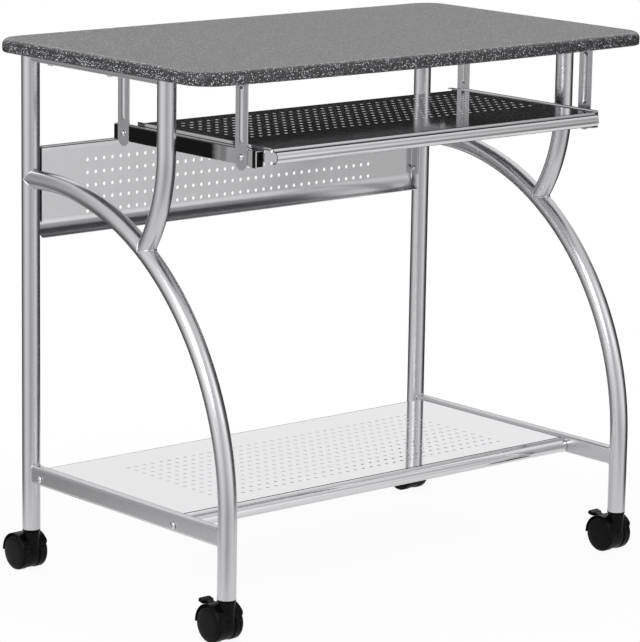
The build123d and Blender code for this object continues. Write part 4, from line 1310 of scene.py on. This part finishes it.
def arch_weld():
    """Line where the arch meets the rear post."""
    ring = [(TUBE_R * math.cos(a), TUBE_R * math.sin(a)) for a in full_turn(WELD_STEPS)]
    return [(x, POST_Y - abs(h), ARCH_TOP_Z + h) for x, h in ring]


def strut_weld(arch_r, strut_r):
    """Line where the strut's foot lands square on the arch."""
    middle = Vector((LEG_Y + arch_r, ARCH_TOP_Z - arch_r))
    reach = math.hypot(arch_r + TUBE_R, strut_r)
    bend_y = STRUT_Y + strut_r
    bend_z = middle.y + math.sqrt(reach**2 - (bend_y - middle.x) ** 2)
    aim = math.atan2(middle.y - bend_z, middle.x - bend_y)
    sweep = math.pi + aim - math.acos(strut_r / reach)
    foot = Vector((bend_y - strut_r * math.cos(sweep), bend_z - strut_r * math.sin(sweep)))
    out = (foot - middle).normalized()
    along = Vector((-out.y, out.x))
    line = []
    for a in full_turn(WELD_STEPS):
        side, drift = TUBE_R * math.cos(a), TUBE_R * math.sin(a)
        far = math.sqrt((arch_r + abs(drift)) ** 2 - drift**2)
        line.append((side, *(middle + out * far + along * drift)))
    return line


def bead_tree():
    """Geometry tree of weld beads: a rippled round bead along each closed line."""
    t, given = shape_tree("weld_beads", ("Bead Radius",), takes_points=True)
    line = t.out("GeometryNodeMeshToCurve", {0: given["Geometry"]})
    line = t.out("GeometryNodeResampleCurve", {"Curve": line, "Count": BEAD_POINTS})
    place = t.out("GeometryNodeInputPosition")
    ripple = t.out("ShaderNodeTexNoise", {"Vector": place, "Scale": BEAD_SCALE, "Detail": 1.0})
    size = t.times(given["Bead Radius"], t.plus(BEAD_LEAST, t.times(ripple, BEAD_RIPPLE)))
    line = t.out("GeometryNodeSetCurveRadius", {0: line, "Radius": size})
    ring = t.out("GeometryNodeCurvePrimitiveCircle", {"Resolution": BEAD_SIDES, "Radius": 1.0})
    bead = t.out("GeometryNodeCurveToMesh", {"Curve": line, "Profile Curve": ring, "Scale": size})
    return finish_shape(t, bead, given, SAME_SHAPE_POINT, smooth=True)


class DESK_OT_weld_beads(bpy.types.Operator):
    """Make the weld beads where the frame tubes meet"""

    bl_idname = "desk.weld_beads"
    bl_label = "Weld beads"

    def execute(self, context):
        fixings = context.scene.desk.fixings
        lines = [
            strut_weld(fixings.arch_radius, fixings.strut_radius),
            arch_weld(),
            rail_weld(RAIL, POST_Y, -1, RAIL_CORNER),
            rail_weld(RAIL, LEG_Y, 1, RAIL_CORNER),
            rail_weld(TOP_RAIL, POST_Y, -1, TOP_RAIL_CORNER),
            rail_weld(TOP_RAIL, STRUT_Y, 1, TOP_RAIL_CORNER),
        ]
        bm = bmesh.new()
        for side in SIDES:
            for line in lines:
                verts = [bm.verts.new((side * FRAME_X + x, y, z)) for x, y, z in line]
                for i, vert in enumerate(verts):
                    bm.edges.new((verts[i - 1], vert))
        bmesh.ops.remove_doubles(bm, verts=bm.verts, dist=SAME_POINT)
        sizes = {"Bead Radius": fixings.bead_radius, "Finish": finish("silver_tube")}
        beads = grow(bead_tree(), mesh_of(bm, "weld_lines"), sizes)
        new_piece("weld_beads", beads, "frame")
        return {"FINISHED"}


# Stage


def camera_turn(stage):
    """Turn of the camera, from its right, its up and its way forward."""
    way = Vector((
        math.sin(stage.yaw) * math.cos(stage.pitch),
        math.cos(stage.yaw) * math.cos(stage.pitch),
        -math.sin(stage.pitch),
    ))
    level = Vector((math.cos(stage.yaw), -math.sin(stage.yaw), 0))
    above = level.cross(way)
    right = math.cos(stage.roll) * level + math.sin(stage.roll) * above
    up = math.cos(stage.roll) * above - math.sin(stage.roll) * level
    return Matrix((right, up, -way)).transposed().to_4x4()


def studio_floor(stage):
    """A round pale floor that reads white and keeps a soft shadow."""
    bm = bmesh.new()
    bmesh.ops.create_circle(bm, cap_ends=True, segments=FLOOR_SIDES, radius=stage.floor_radius)
    mesh = mesh_of(bm, "floor")
    material, t, shader = new_finish("pale_floor", {"Roughness": 0.9, "Specular IOR Level": 0.0})
    pale = tint(t, noise(t, scale=30.0, detail=3.0), stage.floor, 0.985, 1.0)
    t.link(pale, shader.inputs["Base Color"])
    ray = t.add("ShaderNodeLightPath").outputs
    in_mirror = t.times(ray["Is Glossy Ray"], MIRRORED_GLOW)
    seen = t.math("MAXIMUM", ray["Is Camera Ray"], t.math("MAXIMUM", in_mirror, ray["Is Transmission Ray"]))
    glow = t.out("ShaderNodeEmission", {"Color": (1, 1, 1, 1), "Strength": 1.0})
    mixed = t.out("ShaderNodeMixShader", {0: t.times(seen, FLOOR_GLOW), 1: shader.outputs[0], 2: glow})
    away = t.out("ShaderNodeVectorMath", {0: own_place(t)}, "Value", operation="LENGTH")
    fade = map_range(t, away, (FLOOR_FADE * stage.floor_radius, stage.floor_radius), kind="SMOOTHSTEP")
    rimmed = t.out("ShaderNodeMixShader", {0: fade, 1: mixed, 2: t.out("ShaderNodeBsdfTransparent")})
    t.link(rimmed, material.node_tree.nodes["Material Output"].inputs["Surface"])
    mesh.materials.append(material)
    obj = bpy.data.objects.new("floor", mesh)
    bpy.context.collection.objects.link(obj)


def studio_world(stage):
    """White backdrop with soft light; shiny metal also sees the studio's soft boxes and dark flags."""
    world = bpy.data.worlds.new("studio")
    world.use_nodes = True
    bpy.context.scene.world = world
    t = Tree(world.node_tree)
    way = t.out("ShaderNodeTexCoord", output="Generated")
    flat = t.out("ShaderNodeVectorMath", {0: way, 1: (1, 1, 0)}, operation="MULTIPLY")
    flat = t.out("ShaderNodeVectorMath", {0: flat}, operation="NORMALIZE")
    up = t.parts(way)["Z"]
    white = (1, 1, 1, 1)

    def along(*axis):
        return t.out("ShaderNodeVectorMath", {0: flat, 1: axis}, "Value", operation="DOT_PRODUCT")

    def round_about(stops):
        return ramp(t, place, [(0.5 + degrees / 360, level) for degrees, level in stops])

    def between(angles, levels=(0.0, 1.0)):
        return map_range(t, up, [math.sin(math.radians(a)) for a in angles], levels, "SMOOTHSTEP")

    right = along(math.cos(stage.yaw), -math.sin(stage.yaw), 0)
    ahead = along(math.sin(stage.yaw), math.cos(stage.yaw), 0)
    turn = t.math("ARCTAN2", right, ahead)
    place = t.plus(t.math("DIVIDE", turn, 2 * math.pi), 0.5)
    level = between(BOX_ENDS, BOX_LEVELS)
    boxes = t.out("ShaderNodeVectorMath", {0: round_about(SOFT_BOXES), "Scale": level}, operation="SCALE")
    backdrop = t.times(between(HORIZON), round_about(BACKDROP))
    studio = t.mix(between(FAR_FLOOR), (*(stage.far_floor,) * 3, 1), boxes)
    studio = t.mix(backdrop, studio, white)
    studio = t.mix(between(CEILING), studio, (*(stage.soft_light,) * 3, 1))
    ray = t.add("ShaderNodeLightPath").outputs
    seen = t.math("MAXIMUM", ray["Is Camera Ray"], ray["Is Transmission Ray"])
    seen = t.math("MAXIMUM", seen, t.times(ray["Is Glossy Ray"], backdrop))
    background = world.node_tree.nodes["Background"]
    t.link(t.mix(seen, studio, white), background.inputs["Color"])
    background.inputs["Strength"].default_value = 1.0


def soft_lamp(name, place, power):
    """A square area lamp that looks at the desk."""
    light = bpy.data.lights.new(name, "AREA")
    light.size = LAMP_SIZE
    light.energy = power
    lamp = bpy.data.objects.new(name, light)
    lamp.location = place
    lamp.rotation_euler = (Vector(LAMP_AIM) - Vector(place)).to_track_quat("-Z", "Y").to_euler()
    bpy.context.collection.objects.link(lamp)


class DESK_OT_stage(bpy.types.Operator):
    """Set the camera, the floor, the backdrop and the lamps"""

    bl_idname = "desk.stage"
    bl_label = "Studio"

    def execute(self, context):
        stage = context.scene.desk.stage
        camera = bpy.data.cameras.new("camera")
        camera.lens = stage.lens
        camera.sensor_width = SENSOR_WIDTH
        camera.sensor_fit = "HORIZONTAL"
        camera.clip_end = CLIP_END
        view = bpy.data.objects.new("camera", camera)
        view.matrix_world = Matrix.Translation(stage.eye) @ camera_turn(stage)
        context.collection.objects.link(view)
        context.scene.camera = view
        context.scene.view_settings.view_transform = "Standard"
        studio_floor(stage)
        studio_world(stage)
        soft_lamp("key", KEY_PLACE, stage.key_light)
        soft_lamp("fill", FILL_PLACE, stage.fill_light)
        return {"FINISHED"}


OPERATORS = (
    DESK_OT_stage,
    DESK_OT_board,
    DESK_OT_side_frames,
    DESK_OT_tray_hangers,
    DESK_OT_slides,
    DESK_OT_casters,
    DESK_OT_keyboard_tray,
    DESK_OT_lower_shelf,
    DESK_OT_rear_panel,
    DESK_OT_screws,
    DESK_OT_weld_beads,
)


class DESK_PT_sidebar(bpy.types.Panel):
    """Buttons and settings of the desk"""

    bl_idname = "DESK_PT_sidebar"
    bl_label = "Desk"
    bl_space_type = "VIEW_3D"
    bl_region_type = "UI"
    bl_category = "Desk"

    def draw(self, context):
        desk = context.scene.desk
        for operator in OPERATORS:
            self.layout.operator(operator.bl_idname)
        for group in (desk.sheet, desk.fixings, desk.hanger, desk.caster, desk.look, desk.stage):
            box = self.layout.box()
            for name in group.__annotations__:
                box.prop(group, name)


CLASSES = (
    DESK_PG_sheet,
    DESK_PG_fixings,
    DESK_PG_hanger,
    DESK_PG_caster,
    DESK_PG_look,
    DESK_PG_stage,
    DESK_PG_desk,
    *OPERATORS,
    DESK_PT_sidebar,
)


def register():
    for cls in CLASSES:
        bpy.utils.register_class(cls)
    bpy.types.Scene.desk = PointerProperty(type=DESK_PG_desk)


def unregister():
    del bpy.types.Scene.desk
    for cls in reversed(CLASSES):
        bpy.utils.unregister_class(cls)


def main():
    register()
    for operator in OPERATORS:
        group, name = operator.bl_idname.split(".")
        getattr(getattr(bpy.ops, group), name)()


if __name__ == "__main__":
    main()
